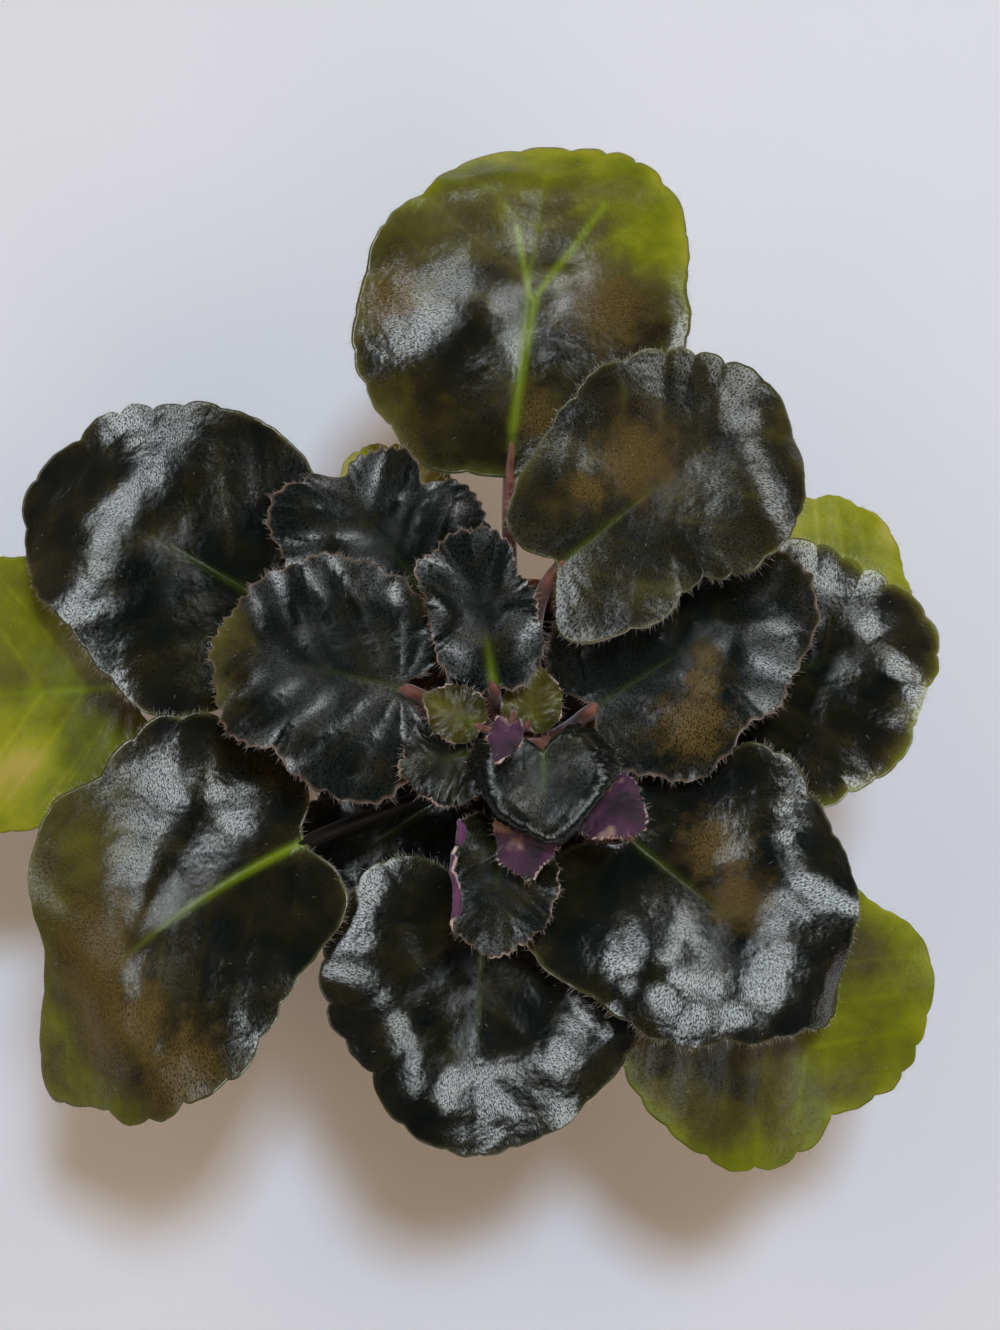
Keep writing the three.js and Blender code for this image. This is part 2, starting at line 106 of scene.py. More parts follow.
def roughenSurface(tree, bsdf, place, size, detail, depth, strength=1.0):
    # unevenness too fine to model, its size and depth in mm
    grain = addNode(tree, "ShaderNodeTexNoise", {}, {
        "Vector": place, "Scale": 1 / (size * mm), "Detail": detail,
    })
    bump = addNode(tree, "ShaderNodeBump", {}, {
        "Height": grain.outputs["Fac"], "Strength": strength, "Distance": depth * mm,
    })
    tree.links.new(bump.outputs["Normal"], bsdf.inputs["Normal"])


leafTones = {
    # tone of the blade from a young dark leaf, on the left, to an old yellowed one
    "ramp": [
        (0.0, "#050907"), (0.1, "#14130b"), (0.2, "#231f0f"), (0.4, "#48441a"),
        (0.6, "#656a10"), (0.8, "#8b8a1c"), (1.0, "#ab9648"),
    ],
    "midrib": "#7a8f14",
    # golden brown of the painted warm reflection, laid into the blade's colour
    "gold": "#5d4c29",
    "edgePink": "#7d6858",
    "edgeOlive": "#5c5a34",
    "hairLength": 0.6,  # mm, the lying hairs that break up the shine
    "hairWidth": 0.4,
    "cellSize": 1.1,
    "crumple": 9,  # the unevenness that makes the edges of the shine wander
    "mottleSize": 9,
    "mottle": 0.11,  # change of tone from place to place
    "warmReflectionDulls": 0.75,  # how much a patch of painted warm reflection takes from the shine
}


def makeVelvetLeaf():
    # leaf cuticle under short lying hairs: dark and satiny, with its shine broken into specks
    material, tree, bsdf = startMaterial("hairy leaf cuticle", IOR=1.6)
    grain = addNode(tree, "ShaderNodeAttribute", {"attribute_name": "grain"}).outputs["Vector"]
    pale, midrib, gold, matt, edge, pink = [
        addNode(tree, "ShaderNodeAttribute", {"attribute_name": name}).outputs["Fac"]
        for name in ("pale", "midrib", "gold", "matt", "edge", "pink")
    ]
    place = addNode(tree, "ShaderNodeTexCoord").outputs["Object"]
    mottle = addNode(tree, "ShaderNodeTexNoise", {}, {
        "Vector": place, "Scale": 1 / (leafTones["mottleSize"] * mm), "Detail": 4.0,
    })
    spread = addNode(tree, "ShaderNodeMapRange", {}, {
        "Value": mottle.outputs["Fac"], "From Min": 0.3, "From Max": 0.7,
        "To Min": -leafTones["mottle"], "To Max": leafTones["mottle"],
    })
    tone = addNode(tree, "ShaderNodeMath", {"operation": "MULTIPLY_ADD"}, {
        0: spread.outputs["Result"], 1: 1.0, 2: pale,
    })
    ramp = addNode(tree, "ShaderNodeValToRGB", {"ramp": leafTones["ramp"]}, {"Fac": tone.outputs[0]})
    lying = addNode(tree, "ShaderNodeMapping", {}, {
        "Vector": grain,
        "Scale": (1 / (leafTones["hairLength"] * mm), 1 / (leafTones["hairWidth"] * mm), 1.0),
    })
    hairs = addNode(tree, "ShaderNodeTexNoise", {}, {
        "Vector": lying.outputs["Vector"], "Scale": 1.0, "Detail": 2.0, "Roughness": 0.6, "Distortion": 0.6,
    })
    glint = addNode(tree, "ShaderNodeMapRange", {}, {
        "Value": hairs.outputs["Fac"], "From Min": 0.4, "From Max": 0.54, "To Min": 0.15, "To Max": 1.0,
    })
    # young leaves, yellowed ones and the patches of painted warm reflection shine less
    dull = addNode(tree, "ShaderNodeMath", {"operation": "MULTIPLY_ADD"}, {
        0: gold, 1: leafTones["warmReflectionDulls"], 2: matt,
    })
    polish = addNode(tree, "ShaderNodeMapRange", {}, {
        "Value": dull.outputs[0], "To Min": 1.0, "To Max": 0.12,
    })
    shine = addNode(tree, "ShaderNodeMath", {"operation": "MULTIPLY"}, {
        0: glint.outputs["Result"], 1: polish.outputs["Result"],
    })
    tree.links.new(shine.outputs[0], bsdf.inputs["Specular IOR Level"])
    rough = addNode(tree, "ShaderNodeMapRange", {}, {"Value": matt, "To Min": 0.18, "To Max": 0.34})
    tree.links.new(rough.outputs["Result"], bsdf.inputs["Roughness"])
    # the painted warm reflection is speckled by the hairs like the real shine
    speckledWarmReflection = addNode(tree, "ShaderNodeMath", {"operation": "MULTIPLY"}, {
        0: gold, 1: glint.outputs["Result"],
    })
    edgeTone = addNode(tree, "ShaderNodeMix", {"data_type": "RGBA"}, {
        "Factor": pink, 6: toLinear(leafTones["edgeOlive"]), 7: toLinear(leafTones["edgePink"]),
    })
    colour = ramp.outputs["Color"]
    for part, tint in [
        (speckledWarmReflection.outputs[0], toLinear(leafTones["gold"])),
        (midrib, toLinear(leafTones["midrib"])),
        (edge, edgeTone.outputs[2]),
    ]:
        layer = addNode(tree, "ShaderNodeMix", {"data_type": "RGBA"}, {"Factor": part, 6: colour, 7: tint})
        colour = layer.outputs[2]
    tree.links.new(colour, bsdf.inputs["Base Color"])
    cells = addNode(tree, "ShaderNodeTexVoronoi", {"feature": "SMOOTH_F1"}, {
        "Vector": place, "Scale": 1 / (leafTones["cellSize"] * mm), "Smoothness": 0.6,
    })
    creases = addNode(tree, "ShaderNodeTexNoise", {}, {
        "Vector": place, "Scale": 1 / (leafTones["crumple"] * mm), "Detail": 3.0,
    })
    crumpled = addNode(tree, "ShaderNodeBump", {}, {
        "Height": creases.outputs["Fac"], "Strength": 1.0, "Distance": 0.5 * mm,
    })
    coarse = addNode(tree, "ShaderNodeBump", {}, {
        "Height": cells.outputs["Distance"], "Strength": 1.0, "Distance": 0.02 * mm,
        "Normal": crumpled.outputs["Normal"],
    })
    fine = addNode(tree, "ShaderNodeBump", {}, {
        "Height": hairs.outputs["Fac"], "Strength": 1.0, "Distance": 0.02 * mm,
        "Normal": coarse.outputs["Normal"],
    })
    tree.links.new(fine.outputs["Normal"], bsdf.inputs["Normal"])
    return material


def makeLeafUnderside(name, colours):
    # underside of a blade: felted with short hairs, matt, and often flushed red or purple
    material, tree, bsdf = startMaterial(
        name, Roughness=0.62, IOR=1.4, Sheen_Weight=0.25, Sheen_Roughness=0.5,
    )
    place = addNode(tree, "ShaderNodeTexCoord").outputs["Object"]
    mottleColour(tree, bsdf, place, 7, 3.0, list(zip((0.35, 0.58, 0.66), colours)))
    roughenSurface(tree, bsdf, place, 0.7, 3.0, 0.12)
    return material


def makeDownyMargin(name, colours):
    # margin of a blade, where the hairs stand so close that it reads as a pale thread
    material, tree, bsdf = startMaterial(name, Roughness=0.7, IOR=1.4, Sheen_Weight=0.4)
    place = addNode(tree, "ShaderNodeTexCoord").outputs["Object"]
    mottleColour(tree, bsdf, place, 3, 3.0, list(zip((0.32, 0.6), colours)))
    return material


def makePetioleSkin(name, colours, sheen=0.3, shine=0.5):
    # fleshy leaf stalk: moist, downy and unevenly coloured
    material, tree, bsdf = startMaterial(name, Roughness=0.5, Sheen_Weight=sheen, Specular_IOR_Level=shine)
    place = addNode(tree, "ShaderNodeTexCoord").outputs["Object"]
    mottleColour(tree, bsdf, place, 5, 4.0, list(zip((0.35, 0.65), colours)))
    roughenSurface(tree, bsdf, place, 0.6, 2.0, 0.1)
    return material


def makePlantHair():
    # clear one-cell-wide plant hairs, which catch the light as pale threads
    return startMaterial(
        "plant hair", Base_Color=toLinear("#b8aa9c"), Roughness=0.4, IOR=1.4, Sheen_Weight=0.3,
    )[0]


def makeMouldedPot():
    # injection-moulded polypropylene in a clay colour: even, low sheen, faint flow marks
    material, tree, bsdf = startMaterial("moulded polypropylene", Roughness=0.48, IOR=1.49)
    place = addNode(tree, "ShaderNodeTexCoord").outputs["Object"]
    stretched = addNode(tree, "ShaderNodeMapping", {}, {"Vector": place, "Scale": (1.0, 1.0, 3.0)})
    mottleColour(tree, bsdf, stretched.outputs["Vector"], 30, 3.0, [(0.3, "#9a5638"), (0.7, "#a9633f")])
    roughenSurface(tree, bsdf, place, 0.5, 2.0, 0.05, 0.6)
    return material


def makePottingMix(name, colours, grainSize):
    # moist peat and bark: matt, crumbly, with light and dark crumbs
    material, tree, bsdf = startMaterial(name, Roughness=0.92, IOR=1.4)
    place = addNode(tree, "ShaderNodeTexCoord").outputs["Object"]
    crumbs = addNode(tree, "ShaderNodeTexVoronoi", {}, {"Vector": place, "Scale": 1 / (grainSize * mm)})
    ramp = addNode(tree, "ShaderNodeValToRGB", {"ramp": [(0.1, colours[0]), (0.9, colours[1])]}, {
        "Fac": crumbs.outputs["Color"],
    })
    tree.links.new(ramp.outputs["Color"], bsdf.inputs["Base Color"])
    bump = addNode(tree, "ShaderNodeBump", {}, {
        "Height": crumbs.outputs["Distance"], "Strength": 1.0, "Distance": 0.8 * mm,
    })
    tree.links.new(bump.outputs["Normal"], bsdf.inputs["Normal"])
    return material


materials = {
    "blade": makeVelvetLeaf(),
    "underPurple": makeLeafUnderside("purple felted underside", ["#2b1224", "#5e2f50"]),
    "upperPurple": makeLeafUnderside("purple young leaf", ["#1c0b17", "#48243a", "#8a6c60"]),
    "underPale": makeLeafUnderside("grey green felted underside", ["#4b4a3d", "#6d6457"]),
    "rimPink": makeDownyMargin("pink downy margin", ["#8a5c58", "#c2a79a"]),
    "rimCream": makeDownyMargin("cream downy margin", ["#56512f", "#8c8463"]),
    # near black, so that the stalk lying under the crown takes the dark of the shade there: painted shade
    "petioleInPaintedShade": makePetioleSkin("leaf stalk darkened as painted shade", ["#0d0a08", "#19120e"], 0.0, 0.1),
    "petioleRed": makePetioleSkin("red brown leaf stalk", ["#4a2018", "#764534"]),
    "petioleGreen": makePetioleSkin("green leaf stalk", ["#5c6a22", "#869132"]),
    "hair": makePlantHair(),
    "pot": makeMouldedPot(),
    "soil": makePottingMix("peat potting mix", ["#17100b", "#3a2a1d"], 1.6),
    "bark": makePottingMix("composted bark crumb", ["#231710", "#54402c"], 3.0),
}
print("materials made:", len(materials))

# lengths in mm, angles in degrees; the places are those of the solids, and the forms stay within a
# few millimetres of them
usualLeaf = {
    "pitch": 0,  # tip raised
    "roll": 0,  # left side raised, seen from the petiole
    "middle": 0.46,  # its widest place, as a share of the length
    "lobe": 9,  # how far the lobes reach back past the petiole
    "notch": 0.24,  # spread of the notch between them, in radians
    "square": 2.2,  # 2 is an oval, more is squarer
    "point": 2,
    "sweep": 0,  # how far the tip is drawn to the left
    "scallops": 20,
    "scallopDepth": 1.5,
    "ruffle": 1.2,  # height of the waves of the margin
    "ruffleTurns": 5,
    "frill": 0.15,  # and of the finer ones that go with the scallops
    "cup": 0,  # rise of the margin
    "droop": 0,  # drop of the outer rim
    "vee": 0.05,  # slope of each half, up from the midrib
    "arch": 0,  # how much the petiole rises on its way
    "petioleRadius": 1.7,
    "bends": [],  # folds and rolled margins: direction, distance, radius, turn
    "bulges": [],  # swellings of the outline: angle from the tip, spread, mm outward
    "veins": 6,  # side veins on each side
    "quilt": 0.1,  # height of the pillows between the veins
    "crinkle": 0.1,  # small wrinkles of the outline
    "frillFine": 0.0,  # height of the crisp ruffles of a young margin
    "hollows": [],  # soft rises and hollows of the blade: x, y, radius, height
    "thickness": 1.0,
    "pale": 0.04,  # 0 is the darkest green, 1 is yellow
    "rimPaleAndLitThrough": 0.1,  # how much paler it gets towards the margin, partly yellowed tissue and partly painted light shining through the thin edge
    "tipPaleAndLitThrough": 0.0,  # and towards the tip, partly yellowed tissue and partly painted light shining through
    "matt": 0.0,  # how much duller it is than a grown dark leaf
    "valleyMatt": 0.0,  # and how much duller in the valleys between the pillows
    "tones": [],  # paler and darker patches: x, y, radius, change
    "midribTone": 0.12,
    "midribReach": 0.5,  # how far it shows, as a share of the length
    "gold": [],  # patches of painted warm reflection, golden brown: x, y, radius
    "drawn": [],  # veins that stand out: x and y of one end and of the other, width
    "rim": "rimCream",
    "upper": "blade",
    "under": "underPale",
    "petiole": "petioleRed",
    "segments": 96,
    "rimHairs": 520,
    "faceHairs": 40,
}

kinds = {
    "inner": {  # young leaves, blistered and crisp
        "frill": 0.25, "scallopDepth": 0.8, "crinkle": 0.35, "frillFine": 0.05, "veins": 5, "quilt": 0.2,
        "pale": 0.0, "midribTone": 0.05, "valleyMatt": 0.85, "rim": "rimPink",
    },
    "crown": {  # the youngest, flushed purple below
        "frillFine": 0.05, "quilt": 0.2, "matt": 0.3, "valleyMatt": 0.5, "segments": 48,
        "rim": "rimPink", "under": "underPurple",
    },
}

# root is the height at which a petiole leaves the stem, or foot its place on the stem's top; base is
# where it meets the blade, and heading the way that the midrib points
leaves = {
    "leaf_top": {
        "root": 79, "base": (-0.6, 71, 91), "heading": 86, "pitch": 2,
        "length": 78, "width": 75, "sweep": -5, "lobe": 11, "point": 0, "scallops": 22,
        "bends": [(5, 57, 16, 32), (-95, 28, 12, 30)],
        "pale": 0.2, "rimPaleAndLitThrough": 0.2, "tipPaleAndLitThrough": 0.5, "midribTone": 0.35, "midribReach": 1,
        "bulges": [(180, 12, 6.5), (48, 14, -5), (112, 18, 2), (-80, 14, -2.5)],
        "hollows": [(29, 9, 17, 4), (38, -6, 7, 1.2), (62, 10, 12, 1)],
        "gold": [(34, -19, 9), (8, -5, 6), (33, 31, 7)],
        "drawn": [
            (4, 0, 34, -2, 1.1), (34, -2, 59, -14.5, 0.8), (34, -1, 52, 4.5, 0.7),
        ],
        # the paler patch at (50, -30) along the right rim is partly yellowed tissue, partly painted light
        # shining through the thin rim
        "tones": [
            (22, 16, 14, -0.12), (2, 8, 9, -0.1), (25, -13, 8, -0.15), (50, -30, 13, 0.3),
            (66, 3, 12, 0.05),
        ],
    },
    "leaf_top_low": {
        "root": 77.5, "base": (-19, 52, 79), "heading": 130, "pitch": -8,
        "length": 28, "width": 28, "scallops": 14, "petioleRadius": 1.4, "arch": 3,
        "pale": 0.8, "segments": 64, "matt": 0.85,
    },
    "leaf_right_low": {
        "root": 77.5, "base": (57, 32, 77), "heading": 38, "pitch": -8,
        "length": 38, "width": 42, "scallops": 16, "arch": 4,
        "pale": 0.7, "segments": 72,
        "bulges": [(35, 25, 2)], "matt": 0.85,
    },
    "leaf_right": {
        "root": 82, "base": (46, 13, 87), "heading": 23, "pitch": 3,
        "length": 49, "width": 58, "point": 4, "bends": [(0, 32, 40, 30)],
        "pale": 0.08, "rimPaleAndLitThrough": 0.55,
        "bulges": [(-48, 20, -4.5), (42, 22, -4), (-115, 14, 2.5)],
        "hollows": [(34, -8, 12, 2), (26, 14, 10, 1.5)],
    },
    "leaf_lower_right_low": {
        "root": 78, "base": (36, -32, 79), "heading": -46, "pitch": -6,
        "length": 62, "width": 70, "square": 2, "scallops": 22, "arch": 3,
        "pale": 0.47, "rimPaleAndLitThrough": 0.12, "tipPaleAndLitThrough": 0.05, "quilt": 0.15,
        "bulges": [(-8, 20, -6.5), (60, 18, 3.5), (94, 12, -3), (-58, 14, 1.5)],
        "tones": [
            (25, -22, 13, -0.25), (30, 17, 9, -0.12), (44, 12, 9, 0.1), (42, -16, 9, -0.1),
            (33, 34, 9, 0.08),
        ],
        "matt": 0.85,
    },
    "leaf_bottom": {
        "root": 83, "base": (-7, -36, 90.5), "heading": -92, "pitch": -4,
        "length": 48, "width": 72, "middle": 0.3, "lobe": 14, "square": 2, "scallops": 22,
        "bends": [(70, 14, 50, 22), (-70, 14, 50, 22), (0, 18, 80, 13)],
        "droop": 0.8, "pale": 0.07,
        "bulges": [(-52, 20, -4.5), (-90, 16, -2), (-140, 20, 4.5), (50, 14, -1.5)],
        "hollows": [(14, -18, 11, 1), (14, 18, 11, 1), (28, -8, 9, 0.8), (30, 8, 9, 0.8)],
    },
    "leaf_lower_left": {
        "root": 89, "base": (-45, -18.5, 93), "heading": 205, "pitch": 1,
        "length": 68, "width": 69, "sweep": 15, "lobe": 8, "square": 2.7, "point": 3, "scallops": 22,
        "bends": [(10, 42, 20, 40)],
        "pale": 0.08, "tipPaleAndLitThrough": 0.42, "midribTone": 0.7, "midribReach": 0.6, "petiole": "petioleInPaintedShade",
        "bulges": [(3, 16, 11), (-32, 14, -6), (-68, 9, 4), (-108, 22, 5), (130, 25, -7.5), (88, 10, 2)],
        "hollows": [(18, -16, 12, 3), (34, -8, 8, 1.8), (54, -14, 8, 0.5), (48, 14, 12, 1.5)],
        "gold": [(51, -6, 11), (56, 7, 9), (43, 28, 8.5), (46, 13, 6)],
        "tones": [(47, -21, 10, 0.12), (36, -30, 11, 0.12), (45, 15, 6, 0.08)],
    },
    "leaf_left_low": {
        "root": 77.5, "base": (-88, 19, 75.5), "heading": 182, "pitch": -6,
        "length": 60, "width": 64, "arch": 4,
        "pale": 0.5, "quilt": 0.12, "midribTone": 0.6,
        "tones": [(2, 3, 12, -0.15), (26, -22, 13, 0.1), (26, 19, 13, 0.42)], "matt": 0.85,
    },
    "leaf_left": {
        "root": 83, "base": (-54, 35, 89), "heading": 151, "pitch": 2,
        "length": 60, "width": 68, "point": 4, "bends": [(20, 25, 60, 23)],
        "pale": 0.06,
        "bulges": [(5, 20, 2.5), (-60, 12, -2), (-112, 18, 2), (68, 28, -7), (125, 18, 4.5)],
        "hollows": [(34, -14, 17, 2.5), (36, 13, 17, 2.5)],
        "tones": [(50, 14, 9, 0.12)],
    },
    "leaf_under_left": {
        "root": 78, "base": (-17, -8, 82), "heading": 214, "pitch": -4,
        "length": 36, "width": 34, "scallops": 16, "petioleRadius": 1.5, "segments": 72,
    },
    "leaf_upper_right": {
        "root": 87, "base": (10, 39, 110.5), "heading": 39, "pitch": 3,
        "length": 58, "width": 56, "lobe": 10, "arch": -5, "bends": [(-20, 40, 30, 30)],
        "pale": 0.14, "matt": 0.3,
        "bulges": [(130, 30, -3.5), (-110, 18, -6), (-165, 16, 4.5)],
        "hollows": [(42, -14, 14, 1.8), (14, 13, 8, 0.8)],
        "gold": [(26.5, 7, 8.5), (13.5, 9, 4)],
    },
    "leaf_right_inner": {
        "kind": "inner",
        "root": 90, "base": (17, 9.5, 101), "heading": 33, "pitch": 1, "roll": -3,
        "length": 53, "width": 50, "lobe": 8,
        "bulges": [(-50, 22, -4), (-88, 14, -3.5), (-122, 12, 2.5)],
        "hollows": [(33, -6, 9, 2.5), (16, -18, 9, 1.5)],
        "gold": [(25.5, -4.5, 3), (15, -15, 7), (22, -9, 3)], "matt": 0.15, "valleyMatt": 0.6,
    },
    "leaf_lower_right": {
        "root": 88, "base": (24, -18, 97), "heading": -39, "pitch": 1,
        "length": 55, "width": 60, "lobe": 13, "point": 0,
        "bends": [(0, 30, 38, 38), (62, 27, 38, 20), (-62, 27, 38, 20)],
        "bulges": [(0, 16, 6.5), (40, 20, -2), (110, 18, 5.5), (-48, 22, -3.5), (-132, 18, 8)],
        "hollows": [(28, 14, 12, 2), (22, -18, 10, 2.5)],
        "gold": [(15, 10, 6), (26, 4, 6)],
    },
    "leaf_inner_left": {
        "kind": "inner",
        "root": 92, "base": (-24, 13, 105), "heading": 168, "pitch": 5,
        "length": 39, "width": 50, "lobe": 12,
        "bulges": [(74, 16, -5), (125, 18, 4), (-150, 18, -3.5), (-62, 12, -2)],
        "hollows": [
            (10, 15, 9, 0.8), (20, 14, 7, 0.7), (33, 6, 8, 2), (12, -16, 9, 1.5), (27, -12, 8, 1.5),
        ],
        # these paler patches along the margin are painted light shining through the thin edge
        "tones": [(41, -10, 8, 0.22), (41, 0, 8, 0.22), (38, 11, 8, 0.22)],
    },
    "leaf_inner_top_left": {
        "kind": "inner",
        "root": 87, "base": (-18, 33, 96), "heading": 126, "pitch": 6,
        "length": 37, "width": 44, "lobe": 6,
        "bulges": [(36, 20, 6), (-2, 10, -4), (-66, 12, -6.5)],
        "hollows": [(14, -12, 8, 1.4), (22, 10, 8, 1.4), (24, -4, 6, 1)],
    },
    "leaf_inner_top": {
        "kind": "inner",
        "root": 95, "base": (-4.5, 13, 106.6), "heading": 99, "pitch": 10,
        "length": 35, "width": 23, "lobe": 4, "scallops": 16, "frill": 0.15, "petioleRadius": 1.4,
        "veins": 4, "quilt": 0.15, "crinkle": 0.3, "pale": 0.02, "segments": 72, "midribTone": 0.4,
        "midribReach": 0.3,
        "bulges": [(0, 18, -3), (-48, 16, -2.5), (48, 12, 3), (-128, 14, 1.5)],
        "hollows": [(16, -5, 6, 1), (16, 6, 6, 1)],
    },
    "leaf_crown_front": {
        "kind": "crown",
        "foot": (3, 1), "base": (5.5, 0, 114), "heading": -87, "pitch": 12,
        "length": 25, "width": 33, "lobe": 9, "notch": 0.42, "middle": 0.3, "square": 2, "scallops": 18,
        "cup": 0.5, "droop": 6, "frill": 0.15, "petioleRadius": 1.3, "scallopDepth": 0.8,
        "quilt": 0.06, "frillFine": 0.1, "crinkle": 0.3, "pale": 0.02, "segments": 72,
        "bends": [(42, 14.5, 3.5, 58), (-42, 14.5, 3.5, 58)],  # folded like a boat
        "matt": 0.5, "valleyMatt": 0.0,
    },
    "leaf_crown_bottom": {
        "kind": "crown",
        "foot": (-2, -5), "base": (-3, -16, 105), "heading": -93, "pitch": 6,
        "length": 26, "width": 25, "lobe": 4, "scallops": 16, "petioleRadius": 1.3, "scallopDepth": 1,
        "crinkle": 0.2, "segments": 64,
        "bends": [(-90, 8.5, 1.3, -150)],  # its purple underside curls up on one side
    },
    "leaf_crown_left": {
        "kind": "crown",
        "foot": (-5.5, -1), "base": (-8, -1, 107), "heading": 196, "pitch": 6,
        "length": 15, "width": 20, "lobe": 3, "scallops": 14, "petioleRadius": 1.1, "scallopDepth": 1,
        "crinkle": 0.15, "segments": 56,
    },
    "leaf_crown_top_left": {
        "kind": "crown",
        "foot": (-4, 4), "base": (-8, 3.8, 110.3), "heading": 150, "pitch": 12,
        "length": 11, "width": 12, "lobe": 1.5, "scallops": 10, "petioleRadius": 0.9, "scallopDepth": 0.3,
        "pale": 0.28,
    },
    "leaf_crown_top": {
        "kind": "crown",
        "foot": (2, 5.5), "base": (2.7, 5.6, 102), "heading": 78, "pitch": 5,
        "length": 11, "width": 13, "lobe": 2, "scallops": 12, "petioleRadius": 1, "scallopDepth": 0.3,
        "pale": 0.28,
    },
    "leaf_crown_purple": {
        "kind": "crown",
        "foot": (-1, -1.5), "base": (1, -14, 109), "heading": -80, "pitch": 12, "roll": 20,
        "length": 13, "width": 13, "lobe": 1.5, "scallops": 10, "petioleRadius": 0.9, "scallopDepth": 0.4,
        "crinkle": 0.3, "quilt": 0.3, "frillFine": 0.2,
        "upper": "upperPurple", "matt": 0.0, "valleyMatt": 0.0,
    },
    "leaf_crown_right": {
        "kind": "crown",
        "foot": (5.5, -3), "base": (14, -10, 107.5), "heading": -30, "pitch": 8, "roll": -20,
        "length": 13, "width": 16, "lobe": 2, "scallops": 12, "petioleRadius": 1, "scallopDepth": 0.4,
        "crinkle": 0.3, "frillFine": 0.3, "upper": "upperPurple", "matt": 0.0, "valleyMatt": 0.0,
    },
    "leaf_crown_tip": {
        "kind": "crown",
        "foot": (-1.5, 4.5), "base": (-1, 3, 119), "heading": -110, "pitch": 4,
        "length": 7, "width": 7, "lobe": 1, "scallops": 10, "petioleRadius": 0.7, "scallopDepth": 0.5,
        "frillFine": 0.1, "upper": "upperPurple", "matt": 0.0, "valleyMatt": 0.0,
    },
}
leaves = {name: {**usualLeaf, **kinds.get(own.get("kind"), {}), **own} for name, own in leaves.items()}
for number, leaf in enumerate(leaves.values()):
    leaf["seed"] = number + 1


bladeForm = {
    "tipSpread": 0.3,  # half width of the blade's point, in radians
    "scallopRoundness": 0.6,  # lower makes the scallops fuller and the creases between them sharper
    "veinLean": 0.62,  # how far a side vein runs forward for each mm it runs outward
    "veinCurl": 0.004,  # and how much more so towards the margin
    "veinFan": 0.5,  # radians between the veins behind the petiole
    "pillowCut": 7.3,  # between the small veins that cut a pillow across
    "midribChannel": 3.2,  # half width of the flat strip along the midrib
    "swell": 1.5,  # how much higher the rises stand than their numbers
    "creaseWander": 0.06,  # how far the crease of a rolled margin strays, as a share of its radius
    "rimShare": 0.6,  # from where a blade droops
    "veinWidth": 0.7,
    "ripples": (0.25, 7, 0.4, 17),  # height as a share of the pillows, and wave, of two uneven ripples
}


def outlineRadius(leaf, angle):
    # distance from the blade's middle to its margin, at an angle measured from the tip
    middle = leaf["length"] * leaf["middle"]
    reach = np.where(np.cos(angle) > 0, leaf["length"] - middle, middle + leaf["lobe"])
    power = leaf["square"]
    ahead, aside = np.abs(np.cos(angle) / reach), np.abs(np.sin(angle) * 2 / leaf["width"])
    oval = (ahead ** power + aside ** power) ** (-1 / power)
    notch = leaf["lobe"] * np.exp(-(((math.pi - np.abs(angle)) / leaf["notch"]) ** 2))
    tip = leaf["point"] * np.exp(-((angle / bladeForm["tipSpread"]) ** 2))
    uneven = 0.9 * np.sin(3 * angle + leaf["seed"]) + 0.5 * np.sin(5 * angle + 2 * leaf["seed"])
    wave = np.abs(np.sin(leaf["scallops"] * (angle + math.pi) / 2 + uneven))
    scallop = wave ** bladeForm["scallopRoundness"]
    depth = leaf["scallopDepth"] * (0.8 + 0.4 * np.sin(2 * angle + 1.7 * leaf["seed"]))
    for toward, spread, amount in leaf["bulges"]:
        away = (np.degrees(angle) - toward + 180) % 360 - 180
        oval = oval + amount * np.exp(-((away / spread) ** 2))
    crinkle = leaf["crinkle"] * np.sin(41 * angle + 3 * np.sin(5 * angle + leaf["seed"]))
    return oval - notch + tip + depth * (scallop - 0.8) + crinkle


def veinPhase(leaf, x, y):
    # whole numbers lie on the side veins, which sweep forward, or fan out behind the petiole
    across = np.abs(y)
    lean, curl = bladeForm["veinLean"], bladeForm["veinCurl"]
    swept = (x - lean * across - curl * across ** 2) * leaf["veins"] / leaf["length"]
    fan = -(np.arctan2(across, x) - math.atan2(1, lean)) / bladeForm["veinFan"]
    return np.where(swept > 0, swept, np.where(x < lean * across, fan, swept))


def pillowHeight(leaf, x, y):
    # blistered surface: a pillow between each two side veins, cut across by small veins
    phase = veinPhase(leaf, x, y)
    ridge = np.sin(math.pi * phase) ** 2
    far = np.hypot(x * 0.4, y)
    turn = math.pi * far / bladeForm["pillowCut"] + 1.9 * np.floor(phase) + leaf["seed"]
    cross = np.abs(np.sin(turn)) ** 0.8
    return ridge * (0.8 + 0.2 * cross) * (1 - np.exp(-((y / bladeForm["midribChannel"]) ** 2)))


def softNoise(x, y, wave, seed):
    # a sum of a few slanted waves, as an uneven surface has
    total = np.zeros_like(x)
    for turn in range(5):
        direction = seed * 1.7 + turn * 2.4
        length = wave * (1 + 0.35 * math.sin(seed * 3.1 + turn * 1.3))
        forward = x * math.cos(direction) + y * math.sin(direction)
        total += np.sin(forward * 2 * math.pi / length + seed + turn)
    return total / 5


def rollMargin(points, bend):
    # rolls whatever lies beyond a line round a cylinder, down if the turn is positive
    toward, start, radius, turn = bend
    direction = np.array([math.cos(math.radians(toward)), math.sin(math.radians(toward))])
    crease = points[:, :2] @ np.array([-direction[1], direction[0]])
    stray = bladeForm["creaseWander"] * radius * np.sin(crease / 5 + toward)
    beyond = points[:, :2] @ direction - start + stray
    past = beyond > 0
    sense = math.copysign(1, turn)
    angle = np.minimum(beyond / radius, math.radians(abs(turn)))
    rest = beyond - angle * radius
    swing = radius + sense * points[:, 2]
    along = swing * np.sin(angle) + rest * np.cos(angle)
    drop = radius - swing * np.cos(angle) + rest * np.sin(angle)
    moved = points.copy()
    moved[:, :2] += np.outer(along - beyond, direction)
    moved[:, 2] = -sense * drop
    points[past] = moved[past]


